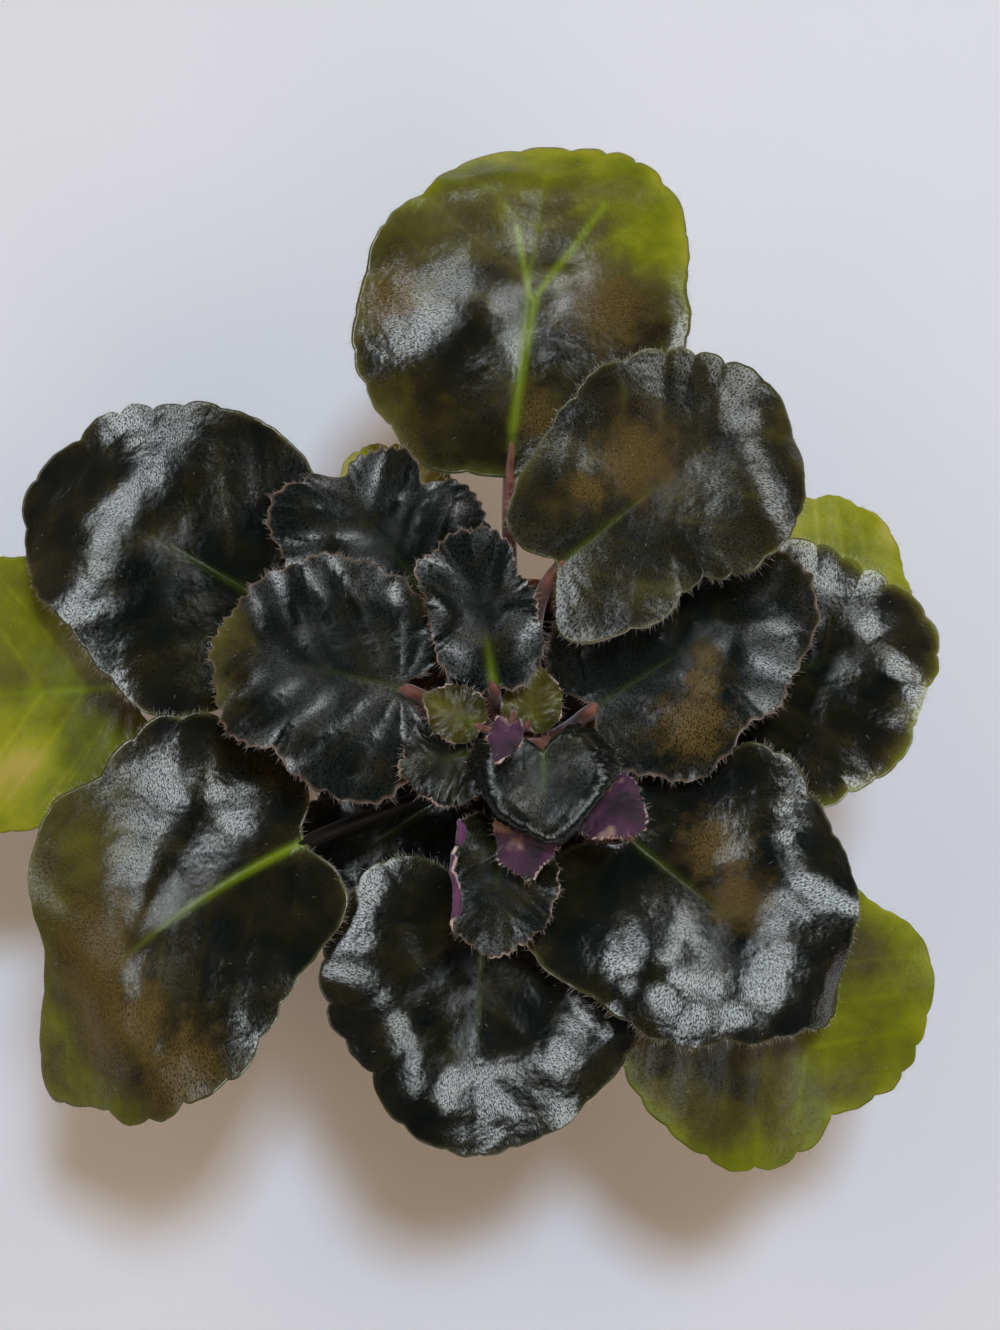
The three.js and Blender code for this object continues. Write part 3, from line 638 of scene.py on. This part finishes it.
def bladePoints(leaf, share, angle, lift=0.0):
    # points of the upper face in the leaf's own frame, share being 0 in the middle and 1 at the margin
    radius = outlineRadius(leaf, angle) * share
    x = leaf["length"] * leaf["middle"] + radius * np.cos(angle)
    y = radius * np.sin(angle)
    seed = leaf["seed"]
    height = leaf["ruffle"] * np.sin(leaf["ruffleTurns"] * angle + leaf["length"]) * share ** 3
    height += leaf["frill"] * np.sin(leaf["scallops"] * angle / 2 + 0.8) * share ** 6
    outer = np.maximum(0, (share - bladeForm["rimShare"]) / (1 - bladeForm["rimShare"]))
    height += leaf["cup"] * share ** 2 - leaf["droop"] * outer ** 2
    height += leaf["vee"] * np.abs(y)
    height += leaf["quilt"] * pillowHeight(leaf, x, y) * np.minimum(1, (1 - share) * 5)
    small, smallWave, large, largeWave = bladeForm["ripples"]
    ripple = small * softNoise(x, y, smallWave, seed) + large * softNoise(x, y, largeWave, seed + 4)
    height += leaf["quilt"] * ripple
    crisp = np.sin(43 * angle + 2 * np.sin(5 * angle + seed)) + 0.6 * np.sin(71 * angle + seed)
    height += leaf["frillFine"] * crisp * share ** 20
    for cx, cy, size, rise in leaf["hollows"]:
        height += bladeForm["swell"] * rise * np.exp(-((x - cx) ** 2 + (y - cy) ** 2) / size ** 2)
    sideways = y + leaf["sweep"] * (np.maximum(0, x) / leaf["length"]) ** 2
    points = np.stack([x, sideways, height + leaf["thickness"] / 2 + lift], axis=1)
    for bend in leaf["bends"]:
        rollMargin(points, bend)
    return points


def lineDistance(x, y, x0, y0, x1, y1):
    # distance from the stretch between two points
    runX, runY = x1 - x0, y1 - y0
    part = np.clip(((x - x0) * runX + (y - y0) * runY) / (runX ** 2 + runY ** 2), 0, 1)
    return np.hypot(x - x0 - part * runX, y - y0 - part * runY)


def placeMatrix(leaf):
    angles = [math.radians(a) for a in (leaf["roll"], -leaf["pitch"], leaf["heading"])]
    return Matrix.Translation(leaf["base"]) @ Euler(angles, "XYZ").to_matrix().to_4x4()


def intoPlace(leaf, points):
    # from the leaf's own frame in mm to the model's in metres
    matrix = np.array(placeMatrix(leaf))
    return (points @ matrix[:3, :3].T + matrix[:3, 3]) * mm


def setAttribute(mesh, name, values, kind="FLOAT"):
    attribute = mesh.attributes.new(name, kind, "POINT")
    field = "value" if kind == "FLOAT" else "vector"
    attribute.data.foreach_set(field, np.ravel(values).astype(np.float32))


bladePaint = {
    "veinPale": 0.08,  # how much paler the side veins are
    "uneven": 0.05, "unevenWave": 20,  # change of tone over the blade, and its wave in mm
    "tipDull": 2.2, "patchDull": 3,  # how much duller a paler tip and a paler patch are
    "drawnTone": 0.6,
    "thread": 0.97,  # from where the margin reads as a downy thread
    "darkBelow": 0.3,  # only leaves darker than this have the thread
}


def paintBlade(mesh, leaf, share, angle):
    # tones, patches, veins and the lie of the hairs, as attributes that the cuticle reads
    radius = outlineRadius(leaf, angle) * share
    x = leaf["length"] * leaf["middle"] + radius * np.cos(angle)
    y = radius * np.sin(angle)
    along = np.clip(x / leaf["length"], 0, 1)
    phase = veinPhase(leaf, x, y)
    fromVein = (phase - np.round(phase)) * leaf["length"] / leaf["veins"]
    vein = np.exp(-((fromVein / bladeForm["veinWidth"]) ** 2)) * (1 - share ** 4)
    midrib = np.exp(-((y / (1.0 - 0.6 * along)) ** 2)) * (x > -1.5)  # narrower towards the tip
    midrib = midrib * np.clip(1.2 - along / leaf["midribReach"], 0, 1) * leaf["midribTone"]
    # paler towards the margin and the tip: partly yellowed tissue, partly painted light shining through the
    # thin blade
    pale = leaf["pale"] + leaf["rimPaleAndLitThrough"] * share ** 12 + leaf["tipPaleAndLitThrough"] * along ** 3
    pale += bladePaint["veinPale"] * vein
    pale += bladePaint["uneven"] * softNoise(x, y, bladePaint["unevenWave"], leaf["seed"])
    matt = leaf["matt"] + leaf["valleyMatt"] * (1 - pillowHeight(leaf, x, y) ** 2)
    matt += bladePaint["tipDull"] * leaf["tipPaleAndLitThrough"] * along ** 3
    for cx, cy, size, change in leaf["tones"]:
        patch = np.exp(-((np.hypot(x - cx, y - cy) / size) ** 2))
        pale += change * patch
        matt += bladePaint["patchDull"] * max(0, change) * patch
    setAttribute(mesh, "pale", np.clip(pale, 0, 1))
    for x0, y0, x1, y1, width in leaf["drawn"]:
        line = np.exp(-((lineDistance(x, y, x0, y0, x1, y1) / width) ** 2)) * bladePaint["drawnTone"]
        midrib = np.maximum(midrib, line)
    ragged = 1 + 0.35 * softNoise(x, y, 6, leaf["seed"]) + 0.2 * softNoise(x, y, 2.5, leaf["seed"] + 2)
    # patches of painted warm reflection, with ragged edges
    warmReflectionPatches = np.zeros_like(x)
    for cx, cy, size in leaf["gold"]:
        warmReflectionPatches += np.exp(-((np.hypot(x - cx, y - cy) * ragged / size) ** 3))
    setAttribute(mesh, "gold", np.clip(warmReflectionPatches, 0, 1))
    setAttribute(mesh, "midrib", midrib)
    thread = np.clip((share - bladePaint["thread"]) / (1 - bladePaint["thread"]), 0, 1)
    thread *= 0.5 + 0.5 * softNoise(x, y, 5, leaf["seed"])
    setAttribute(mesh, "edge", np.clip(thread, 0, 1) * (leaf["pale"] < bladePaint["darkBelow"]))
    setAttribute(mesh, "pink", np.full_like(x, leaf["rim"] == "rimPink"))
    setAttribute(mesh, "matt", np.clip(matt, 0, 1))
    grain = np.stack([radius * mm, angle * 0.5 * leaf["width"] * mm, np.zeros_like(x)], axis=1)
    setAttribute(mesh, "grain", grain, "FLOAT_VECTOR")


def buildBlade(name, leaf):
    bm = bmesh.new()
    bmesh.ops.create_grid(bm, x_segments=leaf["segments"], y_segments=leaf["segments"], size=1)
    blade = linkMesh(name + "_blade", bm)
    mesh = blade.data
    square = np.empty(len(mesh.vertices) * 3, np.float32)
    mesh.vertices.foreach_get("co", square)
    u, v = square.reshape(-1, 3)[:, 0].astype(float), square.reshape(-1, 3)[:, 1].astype(float)
    # the square grid becomes a disc, and the disc the blade
    discX, discY = u * np.sqrt(1 - v ** 2 / 2), v * np.sqrt(1 - u ** 2 / 2)
    share = np.minimum(1, np.hypot(discX, discY))
    angle = np.arctan2(discY, discX)
    points = intoPlace(leaf, bladePoints(leaf, share, angle))
    mesh.vertices.foreach_set("co", points.astype(np.float32).ravel())
    paintBlade(mesh, leaf, share, angle)
    thinRim = blade.vertex_groups.new(name="thinning")
    for step in range(5):
        inStep = np.nonzero((share >= step / 5) & (share <= (step + 1) / 5))[0]
        thinRim.add(inStep.tolist(), 1 - 0.12 * step, "REPLACE")
    for key in (leaf["upper"], leaf["under"], leaf["rim"]):
        mesh.materials.append(materials[key])
    wall = blade.modifiers.new("thickness", "SOLIDIFY")
    wall.thickness = leaf["thickness"] * mm
    wall.offset = -1
    wall.material_offset = 1
    wall.material_offset_rim = 2
    wall.vertex_group = "thinning"
    wall.thickness_vertex_group = 0.4
    return blade


def midribPoint(leaf, x, lift):
    # a point of the midrib in the model's frame in mm, a little above or below the upper face
    middle = leaf["length"] * leaf["middle"]
    angle = np.array([math.pi if x < middle else 0.0])
    point = bladePoints(leaf, abs(x - middle) / outlineRadius(leaf, angle), angle, lift)
    return Vector(intoPlace(leaf, point)[0]) / mm


sinkIntoBlade = 0.3  # mm, how far a petiole's top lies inside the blade


def petiolePoints(leaf, steps=14):
    # square out of the stem, arching up to the blade, then on along its underside as a thick midrib
    place = placeMatrix(leaf)
    base = midribPoint(leaf, 0, 0)
    if "foot" in leaf:
        outward = up
        start = Vector((leaf["foot"][0], leaf["foot"][1], stem["top"] - 0.5))
    else:
        outward = Vector((base.x, base.y, 0)).normalized()
        start = outward * (stem["radius"] - 0.5) + up * leaf["root"]
    midrib = place.to_3x3() @ Vector((1, 0, 0))
    upper = place.to_3x3() @ up
    reach = (base - start).length
    sunk = upper * (sinkIntoBlade - leaf["petioleRadius"])
    out = start + outward * min(1.5, reach * 0.12)
    away = out + outward * reach * 0.4 + up * leaf["arch"]
    arrive = base - midrib * reach * 0.3 + sunk + up * leaf["arch"]
    base = base + sunk
    points = [(start, leaf["petioleRadius"] * 1.25)]  # a flared foot
    for step in range(steps + 1):
        t = step / steps
        a, b, c, d = (1 - t) ** 3, 3 * t * (1 - t) ** 2, 3 * t ** 2 * (1 - t), t ** 3
        point = out * a + away * b + arrive * c + base * d
        points.append((point, leaf["petioleRadius"] * (1.1 - 0.15 * t)))
    for step in range(1, 7):
        radius = leaf["petioleRadius"] * (0.9 - 0.7 * step / 6)
        below = sinkIntoBlade - leaf["thickness"] - radius
        points.append((midribPoint(leaf, leaf["length"] * 0.1 * step, below), radius))
    return points


def buildPetiole(name, leaf):
    curve = bpy.data.curves.new(name + "_petiole", "CURVE")
    curve.dimensions = "3D"
    curve.bevel_depth = mm
    curve.bevel_resolution = 3
    curve.use_fill_caps = True
    spline = curve.splines.new("POLY")
    points = petiolePoints(leaf)
    spline.points.add(len(points) - 1)
    for point, (place, radius) in zip(spline.points, points):
        point.co = (*(place * mm), 1)
        point.radius = radius
    spline.use_smooth = True
    curve.materials.append(materials[leaf["petiole"]])
    petiole = bpy.data.objects.new(name + "_petiole", curve)
    bpy.context.collection.objects.link(petiole)
    return petiole


def addHairs(name, roots, ways, lengths, width):
    # each hair is a bent line of three points, thick enough to show
    curve = bpy.data.curves.new(name, "CURVE")
    curve.dimensions = "3D"
    curve.bevel_depth = width / 2 * mm
    curve.bevel_resolution = 0
    curve.materials.append(materials["hair"])
    for root, way, length in zip(roots, ways, lengths):
        spline = curve.splines.new("POLY")
        spline.points.add(2)
        bent = way * length * mm
        for point, share, thin in zip(spline.points, (0, 0.5, 1), (1, 0.7, 0.25)):
            sag = np.array([0, 0, -0.25 * share ** 2 * length * mm])
            point.co = (*(root + bent * share + sag), 1)
            point.radius = thin
    hairs = bpy.data.objects.new(name, curve)
    bpy.context.collection.objects.link(hairs)
    return hairs


hair = {
    "width": 0.055, "rimLengths": (0.5, 1.4), "faceLengths": (0.5, 0.95),
    "rimSpread": 0.35, "faceSpread": 0.3,  # how far their directions stray
    "fullLeaf": 130,  # length and width together of a leaf with the usual count of hairs
}


def buildHairs(name, leaf):
    dice = np.random.default_rng(leaf["seed"])
    size = (leaf["length"] + leaf["width"]) / hair["fullLeaf"]
    angle = dice.uniform(-math.pi, math.pi, int(leaf["rimHairs"] * size))
    rim = intoPlace(leaf, bladePoints(leaf, np.ones_like(angle), angle))
    inside = intoPlace(leaf, bladePoints(leaf, np.full_like(angle, 0.96), angle))
    outward = (rim - inside) / np.linalg.norm(rim - inside, axis=1)[:, None]
    rimWays = outward + dice.normal(0, hair["rimSpread"], outward.shape)
    roots = [rim - outward * 0.1 * mm - np.array([0, 0, 0.2 * mm])]
    ways = [rimWays]
    lengths = [dice.uniform(*hair["rimLengths"], len(angle))]
    angle = dice.uniform(-math.pi, math.pi, int(leaf["faceHairs"] * size))
    share = np.sqrt(dice.uniform(0.02, 0.94, len(angle)))
    here = intoPlace(leaf, bladePoints(leaf, share, angle))
    there = intoPlace(leaf, bladePoints(leaf, share + 0.02, angle))
    flow = (there - here) / np.linalg.norm(there - here, axis=1)[:, None]
    roots.append(here - np.array([0, 0, 0.05 * mm]))
    ways.append(flow * 0.75 + np.array([0, 0, 0.65]) + dice.normal(0, hair["faceSpread"], flow.shape))
    lengths.append(dice.uniform(*hair["faceLengths"], len(angle)))
    together = [np.concatenate(rows) for rows in (roots, ways, lengths)]
    return addHairs(name + "_hairs", *together, hair["width"])


stem = {"radius": 8.5, "foot": 54, "shoulder": 98.5, "top": 100}

for name, leaf in leaves.items():
    finishPiece(buildBlade(name, leaf), [name])
    finishPiece(buildPetiole(name, leaf), [name])
    finishPiece(buildHairs(name, leaf))
print("leaves made:", len(leaves))


def buildStem():
    # short fleshy trunk with the scars of shed leaves
    bm = bmesh.new()
    height = stem["top"] - stem["foot"]
    bmesh.ops.create_cone(
        bm, cap_ends=True, segments=40, radius1=stem["radius"] * 0.85 * mm, radius2=stem["radius"] * mm,
        depth=height * mm, matrix=Matrix.Translation((0, 0, (stem["foot"] + height / 2) * mm)),
    )
    sides = [e for e in bm.edges if abs(e.verts[0].co.z - e.verts[1].co.z) > mm]
    bmesh.ops.subdivide_edges(bm, edges=sides, cuts=30)
    rim = [e for e in bm.edges if e.calc_face_angle(0) > 1.0 and e.verts[0].co.z > (stem["top"] - 1) * mm]
    bmesh.ops.bevel(bm, geom=rim, offset=1.2 * mm, segments=3, profile=0.5, affect="EDGES", material=-1)
    for vert in bm.verts:
        turn, z = math.atan2(vert.co.y, vert.co.x), vert.co.z / mm
        scar = math.sin(5 * turn + 0.9 * z) * math.sin(0.8 * z)
        sink = 1 - 0.05 * max(0, scar) - 0.015 * (1 + math.sin(11 * turn + 3 * math.sin(z)))
        vert.co.x *= sink
        vert.co.y *= sink
    piece = linkMesh("stem_trunk", bm)
    piece.data.materials.append(materials["petioleRed"])
    return piece


pot = {
    "height": 76, "rimRadius": 45, "rimBand": 11, "collarStep": 2.2, "baseRadius": 31,
    "wall": 1.6, "floor": 2.4,
    "drainHoles": 6, "drainHoleRadius": 3.2, "drainCircleRadius": 20, "steps": 128,
}


def wallRadius(height):
    slope = (pot["rimRadius"] - pot["collarStep"] - pot["baseRadius"]) / pot["height"]
    return pot["baseRadius"] + slope * height


def buildPot():
    # profile of the wall, collar and floor, spun into a closed shell, its holes then cut
    collarFoot = pot["height"] - pot["rimBand"]
    inner = wallRadius(pot["floor"]) - pot["wall"]
    profile = [
        (0, 0), (pot["baseRadius"] - 1.2, 0), (pot["baseRadius"] - 0.35, 0.35), (pot["baseRadius"], 1.2),
        (wallRadius(collarFoot), collarFoot), (pot["rimRadius"] - 1.2, collarFoot + 0.2),
        (pot["rimRadius"] - 0.6, collarFoot + 0.8), (pot["rimRadius"], pot["height"] - 1),
        (pot["rimRadius"] - 0.25, pot["height"] - 0.25), (pot["rimRadius"] - 0.8, pot["height"]),
        (pot["rimRadius"] - pot["collarStep"], pot["height"]),
        (wallRadius(pot["height"]) - pot["wall"], pot["height"] - 1.2),
        (inner, pot["floor"] + 1), (inner - 1.5, pot["floor"]), (0, pot["floor"]),
    ]
    bm = bmesh.new()
    verts = [bm.verts.new((radius * mm, 0, height * mm)) for radius, height in profile]
    edges = [bm.edges.new(pair) for pair in zip(verts, verts[1:])]
    bmesh.ops.spin(
        bm, geom=verts + edges, cent=(0, 0, 0), axis=(0, 0, 1), angle=2 * math.pi,
        steps=pot["steps"], use_merge=True,
    )
    bmesh.ops.remove_doubles(bm, verts=bm.verts, dist=0.01 * mm)
    bmesh.ops.recalc_face_normals(bm, faces=bm.faces)
    piece = linkMesh("pot_shell", bm)
    piece.data.materials.append(materials["pot"])
    drills = bmesh.new()
    for k in range(pot["drainHoles"]):
        turn = 2 * math.pi * k / pot["drainHoles"]
        place = Vector((math.cos(turn), math.sin(turn), 0)) * pot["drainCircleRadius"] * mm
        bmesh.ops.create_cone(
            drills, cap_ends=True, segments=24, radius1=pot["drainHoleRadius"] * mm,
            radius2=pot["drainHoleRadius"] * mm, depth=12 * mm, matrix=Matrix.Translation(place),
        )
    cutter = linkMesh("drills", drills)
    cut = piece.modifiers.new("drainage", "BOOLEAN")
    cut.object = cutter
    cut.operation = "DIFFERENCE"
    applyModifiers(piece)
    bpy.data.objects.remove(cutter)
    piece.data.shade_smooth()
    piece.data.set_sharp_from_angle(angle=math.radians(35))
    return piece


def applyModifiers(piece):
    bpy.context.view_layer.update()
    evaluated = piece.evaluated_get(bpy.context.evaluated_depsgraph_get())
    mesh = bpy.data.meshes.new_from_object(evaluated)
    piece.modifiers.clear()
    piece.data = mesh


soil = {"level": 67, "crownRise": 3.5, "crumbs": 520, "crumbSize": (0.7, 2.3)}


def buildCrumbs():
    # loose crumbs of bark and peat lying on the surface of the potting mix
    dice = np.random.default_rng(7)
    edge = wallRadius(soil["level"]) - pot["wall"] - 2.5
    bm = bmesh.new()
    for k in range(soil["crumbs"]):
        far = math.sqrt(dice.uniform((stem["radius"] + 2) ** 2, edge ** 2))
        turn = dice.uniform(0, 2 * math.pi)
        size = dice.uniform(*soil["crumbSize"])
        height = soil["level"] + soil["crownRise"] * (1 - far / edge) ** 1.5 + 0.2
        turned = Euler(dice.uniform(0, 6, 3)).to_matrix().to_4x4()
        place = Matrix.Translation(Vector((far * math.cos(turn), far * math.sin(turn), height)) * mm)
        flat = Matrix.Diagonal((1, float(dice.uniform(0.5, 1)), float(dice.uniform(0.35, 0.8)), 1))
        made = bmesh.ops.create_icosphere(
            bm, subdivisions=1, radius=size / 2 * mm, matrix=place @ turned @ flat,
        )
        for vert in made["verts"]:
            vert.co += Vector(dice.normal(0, 0.09 * size * mm, 3))
    piece = linkMesh("soil_crumbs", bm)
    piece.data.materials.append(materials["bark"])
    return piece


finishPiece(buildStem(), ["stem"])
finishPiece(buildPot(), ["pot"])
finishPiece(buildCrumbs())
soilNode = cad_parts["soil"]
soilNode.data.materials.clear()
soilNode.data.materials.append(materials["soil"])
print("pot, soil and stem made")


def makeTabletop():
    # matt white laminate: pale, even, with a faint soft sheen
    material, tree, bsdf = startMaterial("matt white laminate", Roughness=0.5, IOR=1.45)
    place = addNode(tree, "ShaderNodeTexCoord").outputs["Object"]
    clouds = addNode(tree, "ShaderNodeTexNoise", {}, {"Vector": place, "Scale": 3.0, "Detail": 3.0})
    ramp = addNode(tree, "ShaderNodeValToRGB", {"ramp": [(0.3, "#d6d6d8"), (0.7, "#dcdcdf")]}, {
        "Fac": clouds.outputs["Fac"],
    })
    tree.links.new(ramp.outputs["Color"], bsdf.inputs["Base Color"])
    return material


bm = bmesh.new()
bmesh.ops.create_grid(bm, x_segments=2, y_segments=2, size=4)
floor = linkMesh("floor", bm)
floor.data.materials.append(makeTabletop())

# the room: pale walls under a dark ceiling, with lights half way up all round, so that level leaves
# look black and slopes shine; each light is a soft-edged round spot
room = {
    # name: azimuth, angle from the zenith, radius in degrees, colour, radiance
    "key": (50, 40, 14, "#f2f7f6", 4.5),
    "north": (110, 51, 13, "#ecf3f6", 3.5),
    "west": (150, 40, 15, "#ecf3f6", 4.8),
    "southWest": (208, 44, 15, "#ecf3f6", 3.6),
    "south": (290, 42, 16, "#ecf3f6", 4.4),
    "east": (350, 42, 17, "#ecf3f6", 4.8),
}


spotEdge = 2  # degrees, half width of a light's soft edge


def buildRoom():
    world = bpy.data.worlds.new("room")
    bpy.context.scene.world = world
    world.use_nodes = True
    world.cycles.sampling_method = "NONE"
    tree = world.node_tree
    path = addNode(tree, "ShaderNodeLightPath")
    way = addNode(tree, "ShaderNodeTexCoord").outputs["Generated"]
    height = addNode(tree, "ShaderNodeSeparateXYZ", {}, {"Vector": way}).outputs["Z"]
    walls = addNode(tree, "ShaderNodeValToRGB", {"ramp": [
        (0.0, "#b4b4b4"), (0.5, "#808284"), (0.75, "#3c3e40"), (1.0, "#262525"),
    ]}, {"Fac": height})
    # the walls are dimmer in the shine than they are as light
    total = addNode(tree, "ShaderNodeMix", {"data_type": "RGBA", "blend_type": "MULTIPLY"}, {
        "Factor": path.outputs["Is Glossy Ray"], 6: walls.outputs["Color"], 7: toLinear("#5a5a5a"),
    }).outputs[2]
    for azimuth, zenith, radius, colour, radiance in room.values():
        turn, lean = math.radians(azimuth), math.radians(zenith)
        middle = (math.cos(turn) * math.sin(lean), math.sin(turn) * math.sin(lean), math.cos(lean))
        near = addNode(tree, "ShaderNodeVectorMath", {"operation": "DOT_PRODUCT"}, {0: way, 1: middle})
        spot = addNode(tree, "ShaderNodeMapRange", {"interpolation_type": "SMOOTHSTEP"}, {
            "Value": near.outputs["Value"],
            "From Min": math.cos(math.radians(radius + spotEdge)),
            "From Max": math.cos(math.radians(radius - spotEdge)),
            "To Max": radiance,
        })
        lit = addNode(tree, "ShaderNodeVectorMath", {"operation": "MULTIPLY_ADD"}, {
            0: toLinear(colour)[:3], 1: spot.outputs["Result"], 2: total,
        })
        total = lit.outputs["Vector"]
    # and what lights the leaves and the floor is dimmed and warmed
    bounced = addNode(tree, "ShaderNodeMix", {"data_type": "RGBA", "blend_type": "MULTIPLY"}, {
        "Factor": path.outputs["Is Diffuse Ray"], 6: total, 7: toLinear("#b49a80"),
    })
    tree.links.new(bounced.outputs[2], tree.nodes["Background"].inputs["Color"])


buildRoom()

# a softbox high on the right, which throws the shadow but isn't seen in the shine
softbox = {"azimuth": 64, "zenith": 17, "away": 1600, "size": 300, "watts": 18.5}  # mm
turn, lean = math.radians(softbox["azimuth"]), math.radians(softbox["zenith"])
toward = Vector((math.cos(turn) * math.sin(lean), math.sin(turn) * math.sin(lean), math.cos(lean)))
lamp = bpy.data.objects.new("softbox", bpy.data.lights.new("softbox", "AREA"))
lamp.data.size = softbox["size"] * mm
lamp.data.energy = softbox["watts"]
lamp.data.color = toLinear("#c8e3ff")[:3]
lamp.location = toward * softbox["away"] * mm
lamp.rotation_euler = toward.to_track_quat("Z", "Y").to_euler()
lamp.visible_glossy = False
bpy.context.collection.objects.link(lamp)

view = {"target": (-3.2, 18, 105), "away": 400, "elevation": 78, "lens": 50.9}  # mm and degrees
tilt = math.radians(view["elevation"])
offset = Vector((0, -math.cos(tilt), math.sin(tilt))) * view["away"]
camera = bpy.data.objects.new("camera", bpy.data.cameras.new("camera"))
camera.data.lens = view["lens"]
camera.data.sensor_width = 36
camera.data.clip_start = 0.01
camera.location = (Vector(view["target"]) + offset) * mm
camera.rotation_euler = (Vector(view["target"]) * mm - camera.location).to_track_quat("-Z", "Y").to_euler()
bpy.context.collection.objects.link(camera)
bpy.context.scene.camera = camera
bpy.context.scene.view_settings.view_transform = "Standard"
print("floor, lights and camera placed")
